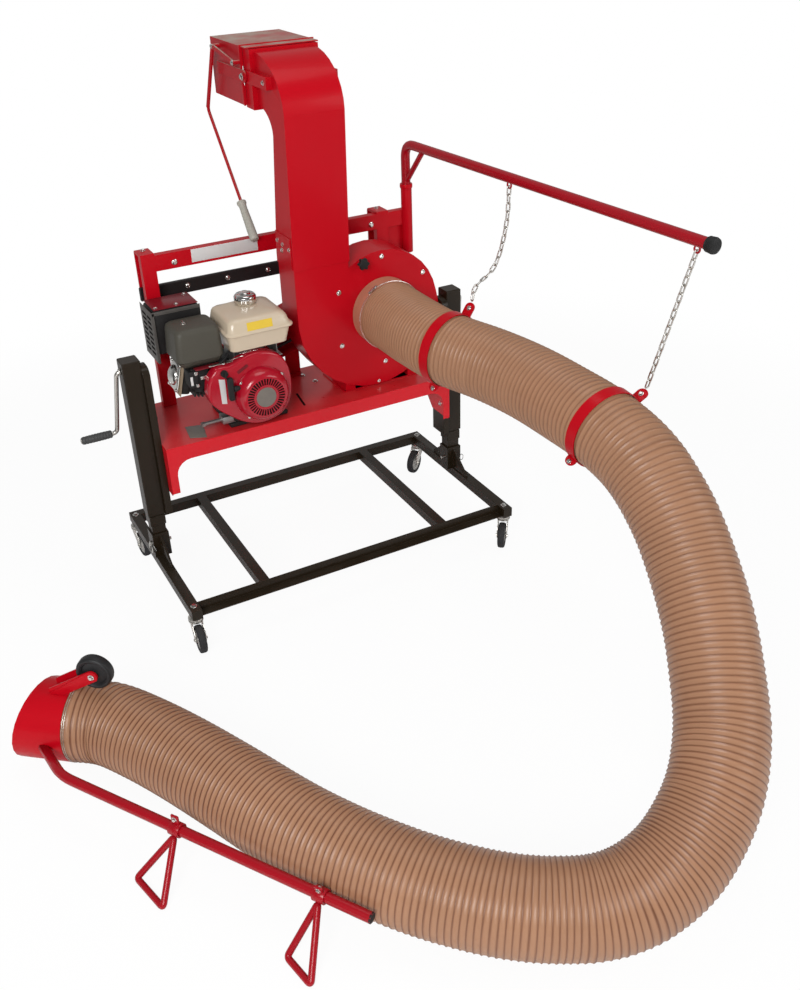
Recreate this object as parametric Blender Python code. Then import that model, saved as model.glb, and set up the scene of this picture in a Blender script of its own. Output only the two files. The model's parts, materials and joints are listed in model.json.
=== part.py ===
"""A leaf loader: a lifting trolley that carries an engine-driven suction fan, its discharge chute and its hose.

Sizes are in metres. X runs along the trolley, -Y points towards the hose and +Z up from the floor. The
origin is the middle of the floor under the machine without its hose.
"""

import math

import bmesh
import bpy
from mathutils import Matrix, Vector

# Clearance that touching pieces keep
GAP = 0.0003

# Trolley
BASE_LENGTH = 1.300
BASE_DEPTH = 0.750
RAIL = 0.037
RAIL_TOP = 0.165
CROSS_MEMBER_X = 0.363
ANGLE_WALL = 0.004
ANGLE_SET_BACK = 0.014
SOCKET_WALL = 0.0056
SOCKET_HEIGHT = 0.095
GUSSET_LENGTH = 0.100
GUSSET_THICKNESS = 0.008
WELD = 0.002

# Castors
WHEEL_RADIUS = 0.050
WHEEL_WIDTH = 0.030
CASTOR_TRAIL = 0.036
CASTOR_INSET = 0.032
AXLE_RADIUS = 0.005
FORK_WALL = 0.003
CASTOR_HEADINGS = {"front_left": -95, "front_right": -130, "back_right": -145, "back_left": -85}

# Lifting legs
LEG_INNER = 0.050
LEG_INNER_WALL = 0.004
LEG_INNER_TOP = 0.850
LEG_CLEARANCE = 0.0005
LEG_OUTER = 0.064
LEG_BOTTOM = 0.336
LEG_TOP = 0.933
LEG_CAP = 0.010
LEG_INSET = 0.0095
LEG_Y = 0.044
COLLAR = 0.058
COLLAR_HEIGHT = 0.040
SIDE_PLATE = 0.0227
SIDE_PLATE_DEPTH = 0.086
PIN_RADIUS = 0.006
PIN_HEIGHT = 0.045

# Cranks
CRANK_DROP = 0.036
CRANK_ROD = 0.0075
CRANK_CLEARANCE = 0.0010
CRANK_ARM = 0.250
CRANK_LEAN = 13
CRANK_OFFSET = 0.046
GRIP_LENGTH = 0.105
GRIP_RADIUS = 0.014

# Deck and rear frame
DECK_TOP = 0.615
DECK_FRONT = -0.045
DECK_BACK = 0.335
SHEET = 0.003
FLANGE_DROP = 0.056
END_PLATE_DROP = 0.190
END_LIP = 0.028
END_CHAMFER = 0.012
GUSSET_RADIUS = 0.055
UPRIGHT_FRONT = 0.280
UPRIGHT_DEPTH = 0.030
UPRIGHT_WIDTH = 0.050
LEFT_UPRIGHT_INSET = 0.123
RIGHT_UPRIGHT_INSET = 0.097
CROSSBAR_RISE = 0.570
CROSSBAR_HEIGHT = 0.057
HOOK_BAR = 0.008
HOOK_WIDTH = 0.050
HOOK_THROAT = 0.043
HOOK_DROP = 0.180
BUFFER_THICKNESS = 0.016
BUFFER_HEIGHT = 0.050

# Boom
SOCKET_OUTSET = 0.008
SOCKET_RADIUS = 0.021
SOCKET_LENGTH = 0.245
SOCKET_RISE = 0.080
BOOM_RADIUS = 0.017
BOOM_INSERT = 0.150
BOOM_RISE = 0.165
BOOM_BEND = 0.055
BOOM_TIP = (0.690, -1.200)
BRACE_RADIUS = 0.010
BOOM_CAP = 0.030

# Fan
FAN_CLEARANCE = 0.010
FAN_STAND = 0.069
FAN_FRONT = 0.030
FAN_BACK = 0.170
SCROLL_RADIUS = 0.226
SCROLL_GROWTH = 0.117
NECK_RISE = 0.240
FAN_SHEET = 0.003
INLET_RADIUS = 0.116
INLET_LENGTH = 0.045
IMPELLER_RADIUS = 0.190
IMPELLER_SHEET = 0.004
BLADES = 8
SHAFT_RADIUS = 0.015
SHAFT_END = 0.292
FAN_PULLEY = 0.060
ENGINE_PULLEY = 0.050
PULLEY_FRONT = 0.252
PULLEY_WIDTH = 0.020
BELT_WIDTH = 0.012
BELT_THICKNESS = 0.009
GUARD_FRONT = 0.236
GUARD_DEPTH = 0.066
GUARD_MARGIN = 0.030

# Chute and hood
CHUTE_WIDTH = 0.215
CHUTE_SHEET = 0.0025
CHUTE_LAP = 0.030
BEND_FRONT_Y = 0.000
BEND_FRONT_DROP = 0.169
BEND_BACK_Y = 0.107
BEND_BACK_DROP = 0.081
OUTLET_Y = 0.217
OUTLET_TOP = 1.809
OUTLET_HEIGHT = 0.165
OUTLET_FLANGE = 0.016
HOOD_FRONT = 0.272
HOOD_BACK = 0.560
HOOD_ABOVE = 0.013
HOOD_BELOW = 0.009
HOOD_SHEET = 0.0025
HOOD_SIDE_GAP = 0.020
PIVOT_Y = 0.258
PIVOT_RISE = 0.086
STRAP_HEIGHT = 0.040
STRAP_THICKNESS = 0.005
LEVER_OFFSET = 0.048
LEVER_RADIUS = 0.006
LEVER_GRIP = 0.150

# Engine
ENGINE_RIGHT = 0.147
ENGINE_WIDTH = 0.404
ENGINE_SHARE = 46 / 151
CRANKSHAFT_RISE = 0.133
RECOIL_FACE = -0.105
RECOIL_RADIUS = 0.092
SHROUD_RADIUS = 0.117
ENGINE_BACK = 0.200
CRANKSHAFT_RADIUS = 0.0125
CYLINDER_TILT = 14
CYLINDER_Y = 0.112
FIN_HALF = 0.060
TANK_RISE = 0.160
TANK_DEPTH = 0.064
TANK_NECK = (0.029, 0.090)
CARB_RISE = 0.1197

# Hose, nozzle and their pieces
HOSE_RADIUS = 0.125
HOSE_GROOVE = 0.1195
HOSE_BORE = 0.104
HOSE_RIBS = 76
NOZZLE_RADIUS = 0.125
NOZZLE_WALL = 0.003
NOZZLE_TOP_LENGTH = 0.105
NOZZLE_BOTTOM_LENGTH = 0.200
RING_WIDTH = 0.038
RING_WALL = 0.003
RING_CLEARANCE = 0.0015
HANDLE_BAR_RADIUS = 0.015
HANDLE_ROD = 0.008
HANDLE_SEAT = 0.021
HANDLE_BEND = 0.009
CHAIN_WIRE = 0.0026
CHAIN_PITCH = 0.037
CHAIN_WIDTH = 0.014
LINK_SEAT = 0.35

CHUTE_FRONT = FAN_FRONT - CHUTE_SHEET - GAP
CHUTE_BACK = FAN_BACK + CHUTE_SHEET + GAP
HALF = BASE_LENGTH / 2
SIDE_RAIL_X = HALF - RAIL / 2
LEG_X = SIDE_RAIL_X - LEG_INSET
DECK_HALF = LEG_X - LEG_OUTER / 2 - SIDE_PLATE - GAP
CRANK_Z = LEG_TOP - CRANK_DROP
LEFT_UPRIGHT = LEFT_UPRIGHT_INSET - DECK_HALF
RIGHT_UPRIGHT = DECK_HALF - RIGHT_UPRIGHT_INSET
CROSSBAR_TOP = DECK_TOP + CROSSBAR_RISE
SOCKET_X = DECK_HALF + SOCKET_OUTSET
SOCKET_TOP = CROSSBAR_TOP + SOCKET_RISE
SOCKET_BOTTOM = SOCKET_TOP - SOCKET_LENGTH
BOOM_HEIGHT = SOCKET_TOP + BOOM_RISE
FAN_X = DECK_HALF - SCROLL_RADIUS - FAN_CLEARANCE
FAN_Z = DECK_TOP + FAN_STAND + SCROLL_RADIUS
NECK_TOP = FAN_Z + NECK_RISE
CHUTE_LEFT = FAN_X - SCROLL_RADIUS - SCROLL_GROWTH
CHUTE_RIGHT = CHUTE_LEFT + CHUTE_WIDTH
CHUTE_BOTTOM = NECK_TOP - CHUTE_LAP
OUTLET_BOTTOM = OUTLET_TOP - OUTLET_HEIGHT
BEND_FRONT = (BEND_FRONT_Y, OUTLET_TOP - BEND_FRONT_DROP)
BEND_BACK = (BEND_BACK_Y, OUTLET_BOTTOM - BEND_BACK_DROP)
HOOD_TOP = OUTLET_TOP + HOOD_ABOVE
HOOD_BOTTOM = OUTLET_BOTTOM - HOOD_BELOW
PIVOT = (PIVOT_Y, OUTLET_BOTTOM + PIVOT_RISE)
LEVER_X = CHUTE_LEFT - LEVER_OFFSET
CRANK_X = CHUTE_LEFT - ENGINE_RIGHT - ENGINE_SHARE * (CHUTE_LEFT + DECK_HALF - ENGINE_WIDTH)
CRANKSHAFT_Z = DECK_TOP + CRANKSHAFT_RISE
TANK_LOW = CRANKSHAFT_Z + TANK_RISE
TANK_LIP = TANK_LOW + TANK_DEPTH
CARB_TOP = CRANKSHAFT_Z + CARB_RISE
UPRIGHT_BACK = UPRIGHT_FRONT + UPRIGHT_DEPTH
HOOK_BACK = UPRIGHT_BACK + HOOK_THROAT


def clear_scene():
    """Remove every object, so that the file builds the same thing each time."""
    for thing in list(bpy.data.objects):
        bpy.data.objects.remove(thing, do_unlink=True)


def paint(name, colour, roughness, metallic=0.0):
    """A Principled material."""
    material = bpy.data.materials.new(name)
    material.use_nodes = True
    shader = material.node_tree.nodes["Principled BSDF"]
    shader.inputs["Base Color"].default_value = (*colour, 1.0)
    shader.inputs["Roughness"].default_value = roughness
    shader.inputs["Metallic"].default_value = metallic
    material.diffuse_color = (*colour, 1.0)
    return material


def make_paints():
    """All finishes of the machine, by name."""
    return {
        "black_steel": paint("black_steel", (0.015, 0.014, 0.013), 0.42, 0.3),
        "red_paint": paint("red_paint", (0.55, 0.008, 0.015), 0.32),
        "zinc": paint("zinc", (0.55, 0.54, 0.52), 0.35, 0.9),
        "tyre": paint("tyre", (0.03, 0.03, 0.032), 0.75),
        "rubber": paint("rubber", (0.02, 0.02, 0.02), 0.7),
        "grey_plastic": paint("grey_plastic", (0.10, 0.11, 0.10), 0.6),
        "pale_plastic": paint("pale_plastic", (0.42, 0.42, 0.38), 0.55),
        "tank_paint": paint("tank_paint", (0.62, 0.58, 0.47), 0.38),
        "cast_alloy": paint("cast_alloy", (0.42, 0.42, 0.41), 0.5, 0.7),
        "chrome": paint("chrome", (0.7, 0.7, 0.7), 0.12, 1.0),
        "hose": paint("hose", (0.50, 0.24, 0.13), 0.45),
        "belt": paint("belt", (0.025, 0.025, 0.025), 0.8),
    }


def empty(name, place, parent=None):
    """A frame on a joint's axis that carries pieces."""
    frame = bpy.data.objects.new(name, None)
    frame.empty_display_size = 0.05
    bpy.context.scene.collection.objects.link(frame)
    frame.parent = parent
    frame.location = Vector(place) - world_of(parent)
    return frame


def world_of(thing):
    """Where a chain of unrotated parents puts this object's origin."""
    total = Vector((0, 0, 0))
    while thing is not None:
        total += thing.location
        thing = thing.parent
    return total


def node(name, shape, finish, carrier):
    """Make a piece from a bmesh drawn in the machine's own coordinates, with its origin at its carrier's."""
    bmesh.ops.translate(shape, vec=-world_of(carrier), verts=shape.verts)
    mesh = bpy.data.meshes.new(name)
    bmesh.ops.recalc_face_normals(shape, faces=shape.faces)
    shape.to_mesh(mesh)
    shape.free()
    mesh.materials.append(finish)
    mesh.shade_smooth()
    mesh.set_sharp_from_angle(angle=math.radians(32))
    piece = bpy.data.objects.new(name, mesh)
    bpy.context.scene.collection.objects.link(piece)
    piece.parent = carrier
    return piece


def combine(owner, shape, operation):
    """Add a hidden helper shape to a piece through a Boolean modifier."""
    count = len(owner.modifiers) + 1
    helper = node(f"{owner.name}_{operation.lower()}_{count}", shape, owner.data.materials[0], owner.parent)
    helper.hide_render = True
    helper.display_type = "WIRE"
    modifier = owner.modifiers.new(f"{operation.title()} {count}", "BOOLEAN")
    modifier.operation = operation
    modifier.object = helper
    modifier.solver = "EXACT"


def join(owner, *shapes):
    """Weld shapes on to a piece."""
    for shape in shapes:
        combine(owner, shape, "UNION")


def cut(owner, *shapes):
    """Take shapes away from a piece."""
    for shape in shapes:
        combine(owner, shape, "DIFFERENCE")


def box(low, high, bevel=0.0, segments=1):
    """A block between two corners, with its edges rounded by bevel."""
    low = Vector(low)
    high = Vector(high)
    shape = bmesh.new()
    bmesh.ops.create_cube(shape, size=1.0)
    bmesh.ops.scale(shape, vec=high - low, verts=shape.verts)
    bmesh.ops.translate(shape, vec=(low + high) / 2, verts=shape.verts)
    if bevel:
        bmesh.ops.bevel(shape, geom=shape.edges, offset=bevel, segments=segments, profile=0.5, affect="EDGES")
    return shape


def turn_to(direction):
    """The rotation that takes +Z to a direction."""
    return Vector((0, 0, 1)).rotation_difference(Vector(direction).normalized()).to_matrix().to_4x4()


def cylinder(start, end, radius, sides=20, end_radius=None):
    """A round bar or cone between two points."""
    start = Vector(start)
    end = Vector(end)
    shape = bmesh.new()
    bmesh.ops.create_cone(
        shape,
        cap_ends=True,
        segments=sides,
        radius1=radius,
        radius2=radius if end_radius is None else end_radius,
        depth=(end - start).length,
        matrix=Matrix.Translation((start + end) / 2) @ turn_to(end - start),
    )
    return shape


def lathe(start, direction, profile, sides=24):
    """Turn a closed profile of (distance along, radius) points round an axis."""
    shape = bmesh.new()
    corners = [shape.verts.new((radius, 0, along)) for along, radius in profile]
    edges = [shape.edges.new((corners[i - 1], corners[i])) for i in range(len(corners))]
    bmesh.ops.spin(
        shape,
        geom=corners + edges,
        cent=(0, 0, 0),
        axis=(0, 0, 1),
        angle=math.tau,
        steps=sides,
        use_merge=True,
    )
    bmesh.ops.remove_doubles(shape, verts=shape.verts, dist=1e-6)
    flat = [edge for edge in shape.edges if not edge.link_faces]
    bmesh.ops.delete(shape, geom=flat, context="EDGES")
    bmesh.ops.transform(shape, matrix=Matrix.Translation(start) @ turn_to(direction), verts=shape.verts)
    return shape


def slab(outline, axis, low, high, bevel=0.0):
    """Extrude an outline along an axis. The outline's points hold the other two coordinates in XYZ order."""
    others = [i for i in range(3) if i != axis]
    shape = bmesh.new()
    corners = []
    for point in outline:
        place = [0.0, 0.0, 0.0]
        place[others[0]] = point[0]
        place[others[1]] = point[1]
        place[axis] = low
        corners.append(shape.verts.new(place))
    face = shape.faces.new(corners)
    grown = bmesh.ops.extrude_face_region(shape, geom=[face])
    moved = [item for item in grown["geom"] if isinstance(item, bmesh.types.BMVert)]
    step = [0.0, 0.0, 0.0]
    step[axis] = high - low
    bmesh.ops.translate(shape, vec=step, verts=moved)
    bmesh.ops.recalc_face_normals(shape, faces=shape.faces)
    if bevel:
        bmesh.ops.bevel(shape, geom=shape.edges, offset=bevel, segments=1, profile=0.5, affect="EDGES")
    return shape


def moved(shape, matrix):
    """The same shape under a transform."""
    bmesh.ops.transform(shape, matrix=matrix, verts=shape.verts)
    return shape


def arc(centre, radii, start, end, steps):
    """Points on an ellipse's arc, with angles in degrees."""
    points = []
    for i in range(steps + 1):
        angle = math.radians(start + (end - start) * i / steps)
        points.append((centre[0] + radii[0] * math.cos(angle), centre[1] + radii[1] * math.sin(angle)))
    return points


def swept(points, radii, resolution, closed=False):
    """A round tube through points, with a radius at each, made by a bevelled curve."""
    curve = bpy.data.curves.new("route", "CURVE")
    curve.dimensions = "3D"
    curve.bevel_depth = 1.0
    curve.bevel_resolution = resolution
    curve.use_fill_caps = not closed
    spline = curve.splines.new("POLY")
    spline.points.add(len(points) - 1)
    spline.use_cyclic_u = closed
    for knot, point, radius in zip(spline.points, points, radii):
        knot.co = (*point, 1.0)
        knot.radius = radius
    carrier = bpy.data.objects.new("route", curve)
    bpy.context.scene.collection.objects.link(carrier)
    graph = bpy.context.evaluated_depsgraph_get()
    mesh = bpy.data.meshes.new_from_object(carrier.evaluated_get(graph))
    shape = bmesh.new()
    shape.from_mesh(mesh)
    bmesh.ops.remove_doubles(shape, verts=shape.verts, dist=1e-6)
    bmesh.ops.recalc_face_normals(shape, faces=shape.faces)
    bpy.data.objects.remove(carrier, do_unlink=True)
    bpy.data.curves.remove(curve)
    bpy.data.meshes.remove(mesh)
    return shape


def rod(points, radius, resolution=2):
    """A bent round bar."""
    return swept(points, [radius] * len(points), resolution)


def rounded(points, bend, steps=4):
    """A route with each inner corner replaced by an arc-like curve that starts the bend's length away."""
    points = [Vector(point) for point in points]
    route = [points[0]]
    for before, corner, after in zip(points, points[1:], points[2:]):
        enter = corner + (before - corner).normalized() * bend
        leave = corner + (after - corner).normalized() * bend
        for i in range(steps + 1):
            t = i / steps
            route.append((1 - t) ** 2 * enter + 2 * t * (1 - t) * corner + t**2 * leave)
    route.append(points[-1])
    return route


def rounded_ring(points, bend, steps=4):
    """A closed route round corners, each replaced by an arc-like curve."""
    ring = [points[-1], *points, points[0]]
    return rounded(ring, bend, steps)[1:-1]


def side_box(side, near, far, low_yz, high_yz, **options):
    """A block between two distances from the middle plane, on the side that has this sign of X."""
    ends = sorted((side * near, side * far))
    return box((ends[0], *low_yz), (ends[1], *high_yz), **options)


def trolley(root, paints):
    """The welded base frame with its leg sockets."""
    low = RAIL_TOP - RAIL
    depth = BASE_DEPTH / 2
    frame = node(
        "base_frame",
        side_box(-1, HALF - RAIL, HALF, (-depth, low), (depth, RAIL_TOP)),
        paints["black_steel"],
        root,
    )
    join(frame, side_box(1, HALF - RAIL, HALF, (-depth, low), (depth, RAIL_TOP)))
    reach = HALF - RAIL + WELD
    join(frame, box((-reach, depth - RAIL, low), (reach, depth, RAIL_TOP)))
    front = -depth + ANGLE_SET_BACK
    back = front + RAIL
    angle_iron = [
        (front, low),
        (back, low),
        (back, RAIL_TOP),
        (back - ANGLE_WALL, RAIL_TOP),
        (back - ANGLE_WALL, low + ANGLE_WALL),
        (front, low + ANGLE_WALL),
    ]
    join(frame, slab(angle_iron, 0, -reach, reach))
    for side in (-1, 1):
        middle = side * CROSS_MEMBER_X
        join(
            frame,
            box((middle - RAIL / 2, back - WELD, low), (middle + RAIL / 2, depth - RAIL + WELD, RAIL_TOP)),
        )
    for side in (-1, 1):
        leg_socket(frame, side)
    return frame


def leg_socket(frame, side):
    """A square socket on the rail, held by a gusset in front and one behind."""
    half_hole = LEG_INNER / 2 + GAP
    half = half_hole + SOCKET_WALL
    x = side * LEG_X
    top = RAIL_TOP + SOCKET_HEIGHT
    join(frame, box((x - half, LEG_Y - half, RAIL_TOP - WELD), (x + half, LEG_Y + half, top)))
    for direction in (-1, 1):
        near = LEG_Y + direction * (half - WELD)
        far = LEG_Y + direction * (half + GUSSET_LENGTH)
        outline = [
            (near, RAIL_TOP - WELD),
            (far, RAIL_TOP - WELD),
            (far, RAIL_TOP + 0.010),
            (near, top - 0.005),
        ]
        join(frame, slab(outline, 0, x - GUSSET_THICKNESS / 2, x + GUSSET_THICKNESS / 2))
    cut(
        frame,
        box(
            (x - half_hole, LEG_Y - half_hole, RAIL_TOP),
            (x + half_hole, LEG_Y + half_hole, top + 0.01),
        ),
        pin_hole(side, PIN_RADIUS + GAP),
    )


def pin_hole(side, radius):
    """The bore that a leg pin passes through."""
    z = RAIL_TOP + PIN_HEIGHT
    x = side * LEG_X
    return cylinder((x - 0.045, LEG_Y, z), (x + 0.045, LEG_Y, z), radius, sides=12)


def legs(root, pin_frames, paints):
    """Inner legs that stand in the sockets, with their collars and pins."""
    half = LEG_INNER / 2
    for side, word in ((-1, "left"), (1, "right")):
        x = side * LEG_X
        low = RAIL_TOP + GAP
        leg = node(
            f"inner_leg_{word}",
            box((x - half, LEG_Y - half, low), (x + half, LEG_Y + half, LEG_INNER_TOP)),
            paints["black_steel"],
            root,
        )
        collar = COLLAR / 2
        top = LEG_BOTTOM - 0.003
        join(
            leg,
            box((x - collar, LEG_Y - collar, top - COLLAR_HEIGHT), (x + collar, LEG_Y + collar, top), bevel=0.002),
        )
        bore = half - LEG_INNER_WALL
        cut(
            leg,
            box((x - bore, LEG_Y - bore, low - 0.01), (x + bore, LEG_Y + bore, LEG_INNER_TOP + 0.01)),
            pin_hole(side, PIN_RADIUS + GAP),
        )
        leg_pin(side, word, pin_frames[word], paints)


def leg_pin(side, word, frame, paints):
    """A pull-out pin with a round head outside and a spring clip's ring inside."""
    z = RAIL_TOP + PIN_HEIGHT
    face = LEG_INNER / 2 + GAP + SOCKET_WALL
    outer = side * (LEG_X + face + GAP)
    inner = side * (LEG_X - face - 0.012)
    pin = node(
        f"leg_pin_{word}",
        cylinder((inner, LEG_Y, z), (outer + side * 0.002, LEG_Y, z), PIN_RADIUS, sides=12),
        paints["zinc"],
        frame,
    )
    head = side * 0.006
    join(pin, cylinder((outer, LEG_Y, z), (outer + head, LEG_Y, z), 0.010, sides=12))
    loop = [
        (outer + side * 0.004, LEG_Y - 0.020 * math.sin(a), z - 0.018 + 0.020 * math.cos(a))
        for a in [math.tau * i / 10 for i in range(10)]
    ]
    join(pin, swept(loop, [0.0025] * len(loop), 0, closed=True))


def castors(frames, paints):
    """Four swivel castors. Each is drawn with its trail along +X and then turned to its heading."""
    for corner, frame in frames["fork"].items():
        heading = math.radians(CASTOR_HEADINGS[corner])
        place = Matrix.Translation(frames["corner"][corner]) @ Matrix.Rotation(heading, 4, "Z")
        fork = node(f"castor_fork_{corner}", moved(fork_crown(), place), paints["zinc"], frame)
        for side in (-1, 1):
            join(fork, moved(fork_cheek(side), place))
        axle = cylinder(
            (CASTOR_TRAIL, -WHEEL_WIDTH / 2 - 0.008, WHEEL_RADIUS),
            (CASTOR_TRAIL, WHEEL_WIDTH / 2 + 0.008, WHEEL_RADIUS),
            AXLE_RADIUS,
            sides=10,
        )
        join(fork, moved(axle, place))
        wheel = lathe(
            (CASTOR_TRAIL, -WHEEL_WIDTH / 2, WHEEL_RADIUS),
            (0, 1, 0),
            wheel_profile(WHEEL_RADIUS, WHEEL_WIDTH, AXLE_RADIUS + GAP),
            sides=16,
        )
        node(f"castor_wheel_{corner}", moved(wheel, place), paints["tyre"], frames["wheel"][corner])


def fork_crown():
    """The swivel head and the crown plate of a castor."""
    top = RAIL_TOP - RAIL - GAP
    plate = WHEEL_RADIUS * 2 + 0.006
    return lathe(
        (0, 0, plate),
        (0, 0, 1),
        [(0, 0), (0, 0.026), (0.008, 0.026), (top - plate, 0.018), (top - plate, 0)],
        sides=10,
    )


def fork_cheek(side):
    """One bent side of the castor's fork."""
    inner = WHEEL_WIDTH / 2 + 0.0015
    outer = inner + FORK_WALL
    ends = sorted((side * inner, side * outer))
    axle_z = WHEEL_RADIUS
    outline = [
        (-0.020, WHEEL_RADIUS * 2 + 0.010),
        (-0.020, WHEEL_RADIUS * 2 - 0.004),
        (CASTOR_TRAIL - 0.012, axle_z),
        *arc((CASTOR_TRAIL, axle_z), (0.012, 0.012), 180, 360, 4),
        (CASTOR_TRAIL + 0.010, WHEEL_RADIUS * 1.5),
        (0.024, WHEEL_RADIUS * 2 + 0.010),
    ]
    return slab(outline, 1, ends[0], ends[1])


def wheel_profile(radius, width, bore):
    """A wheel's half section: bore, dished web, rim and rounded tyre."""
    rim = radius * 0.66
    return [
        (0, bore),
        (0, bore + 0.010),
        (width * 0.22, rim),
        (width * 0.06, radius * 0.80),
        (width * 0.20, radius),
        (width * 0.80, radius),
        (width * 0.94, radius * 0.80),
        (width * 0.78, rim),
        (width, bore + 0.010),
        (width, bore),
    ]


def outer_legs(lift, paints):
    """Outer leg tubes, closed on top, with the side plates that carry the deck."""
    half = LEG_OUTER / 2
    bore = LEG_INNER / 2 + LEG_CLEARANCE
    for side, word in ((-1, "left"), (1, "right")):
        x = side * LEG_X
        tube = node(
            f"outer_leg_{word}",
            box((x - half, LEG_Y - half, LEG_BOTTOM), (x + half, LEG_Y + half, LEG_TOP), bevel=0.003),
            paints["black_steel"],
            lift,
        )
        top = LEG_TOP - 0.028
        front = LEG_Y - SIDE_PLATE_DEPTH / 2
        back = LEG_Y + SIDE_PLATE_DEPTH / 2
        outline = [
            (front, LEG_BOTTOM),
            (back, LEG_BOTTOM),
            *arc((back - 0.03, top - 0.03), (0.03, 0.03), 0, 90, 4),
            *arc((front + 0.03, top - 0.03), (0.03, 0.03), 90, 180, 4),
        ]
        ends = sorted((side * (DECK_HALF + GAP), side * (LEG_X - half + WELD)))
        join(tube, slab(outline, 0, ends[0], ends[1]))
        cut(
            tube,
            box((x - bore, LEG_Y - bore, LEG_BOTTOM - 0.01), (x + bore, LEG_Y + bore, LEG_TOP - LEG_CAP)),
            cylinder(
                (x, LEG_Y, CRANK_Z),
                (x + side * 0.06, LEG_Y, CRANK_Z),
                CRANK_ROD + CRANK_CLEARANCE,
                sides=16,
            ),
        )


def cranks(frames, grip_frames, paints):
    """A crank on each outer leg: shaft, bent arm and a grip that turns on its end."""
    lean = math.radians(CRANK_LEAN)
    for side, word in ((-1, "left"), (1, "right")):
        shaft_start = Vector((side * (LEG_X + 0.012), LEG_Y, CRANK_Z))
        elbow = Vector((side * (LEG_X + CRANK_OFFSET), LEG_Y, CRANK_Z))
        reach = Vector((side * 0.022, CRANK_ARM * math.sin(lean), -CRANK_ARM * math.cos(lean)))
        corner = elbow + reach
        tip = corner + Vector((side * (GRIP_LENGTH + 0.022), 0, 0))
        route = rounded([shaft_start, elbow, corner, tip], 0.016)
        crank = node(f"crank_{word}", rod(route, CRANK_ROD, 2), paints["zinc"], frames[word])
        join(
            crank,
            cylinder(shaft_start, shaft_start + Vector((side * 0.010, 0, 0)), 0.012, sides=16),
        )
        grip_start = corner + Vector((side * 0.019, 0, 0))
        length = GRIP_LENGTH
        profile = [
            (0, CRANK_ROD + GAP),
            (0, GRIP_RADIUS * 0.8),
            (0.004, GRIP_RADIUS),
            (length * 0.5, GRIP_RADIUS * 1.06),
            (length - 0.006, GRIP_RADIUS),
            (length, GRIP_RADIUS * 0.7),
            (length, CRANK_ROD + GAP),
        ]
        node(
            f"crank_grip_{word}",
            lathe(grip_start, (side, 0, 0), profile, sides=12),
            paints["rubber"],
            grip_frames[word],
        )


def deck(lift, paints):
    """The folded red deck: a tray with its flanges down, an end plate at each end and corner gussets."""
    flange_low = DECK_TOP - FLANGE_DROP
    bottom = DECK_TOP - END_PLATE_DROP
    plate_back = LEG_Y + SIDE_PLATE_DEPTH / 2
    sides = [
        (DECK_FRONT, DECK_TOP),
        (DECK_FRONT, bottom + END_CHAMFER),
        (DECK_FRONT + END_CHAMFER, bottom),
        (plate_back, bottom),
        (plate_back + 0.120, flange_low),
        (DECK_BACK, flange_low),
        (DECK_BACK, DECK_TOP),
    ]
    tray = node("deck", slab(sides, 0, -DECK_HALF, DECK_HALF), paints["red_paint"], lift)
    inner = DECK_HALF - SHEET
    hollow_front = DECK_FRONT + SHEET
    cut(
        tray,
        box((-inner, hollow_front, bottom - 0.1), (inner, DECK_BACK - SHEET, DECK_TOP - SHEET)),
    )
    radius = GUSSET_RADIUS
    shoulder = DECK_HALF - END_LIP - radius
    window = [
        (-(DECK_HALF - END_LIP), bottom - 0.1),
        *arc((-shoulder, flange_low - radius), (radius, radius), 180, 90, 5),
        *arc((shoulder, flange_low - radius), (radius, radius), 90, 0, 5),
        (DECK_HALF - END_LIP, bottom - 0.1),
    ]
    cut(
        tray,
        slab(window, 1, DECK_FRONT - 0.01, hollow_front + 0.001),
        box((-inner, DECK_BACK - 0.01, bottom - 0.1), (inner, DECK_BACK + 0.01, flange_low)),
    )


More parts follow.
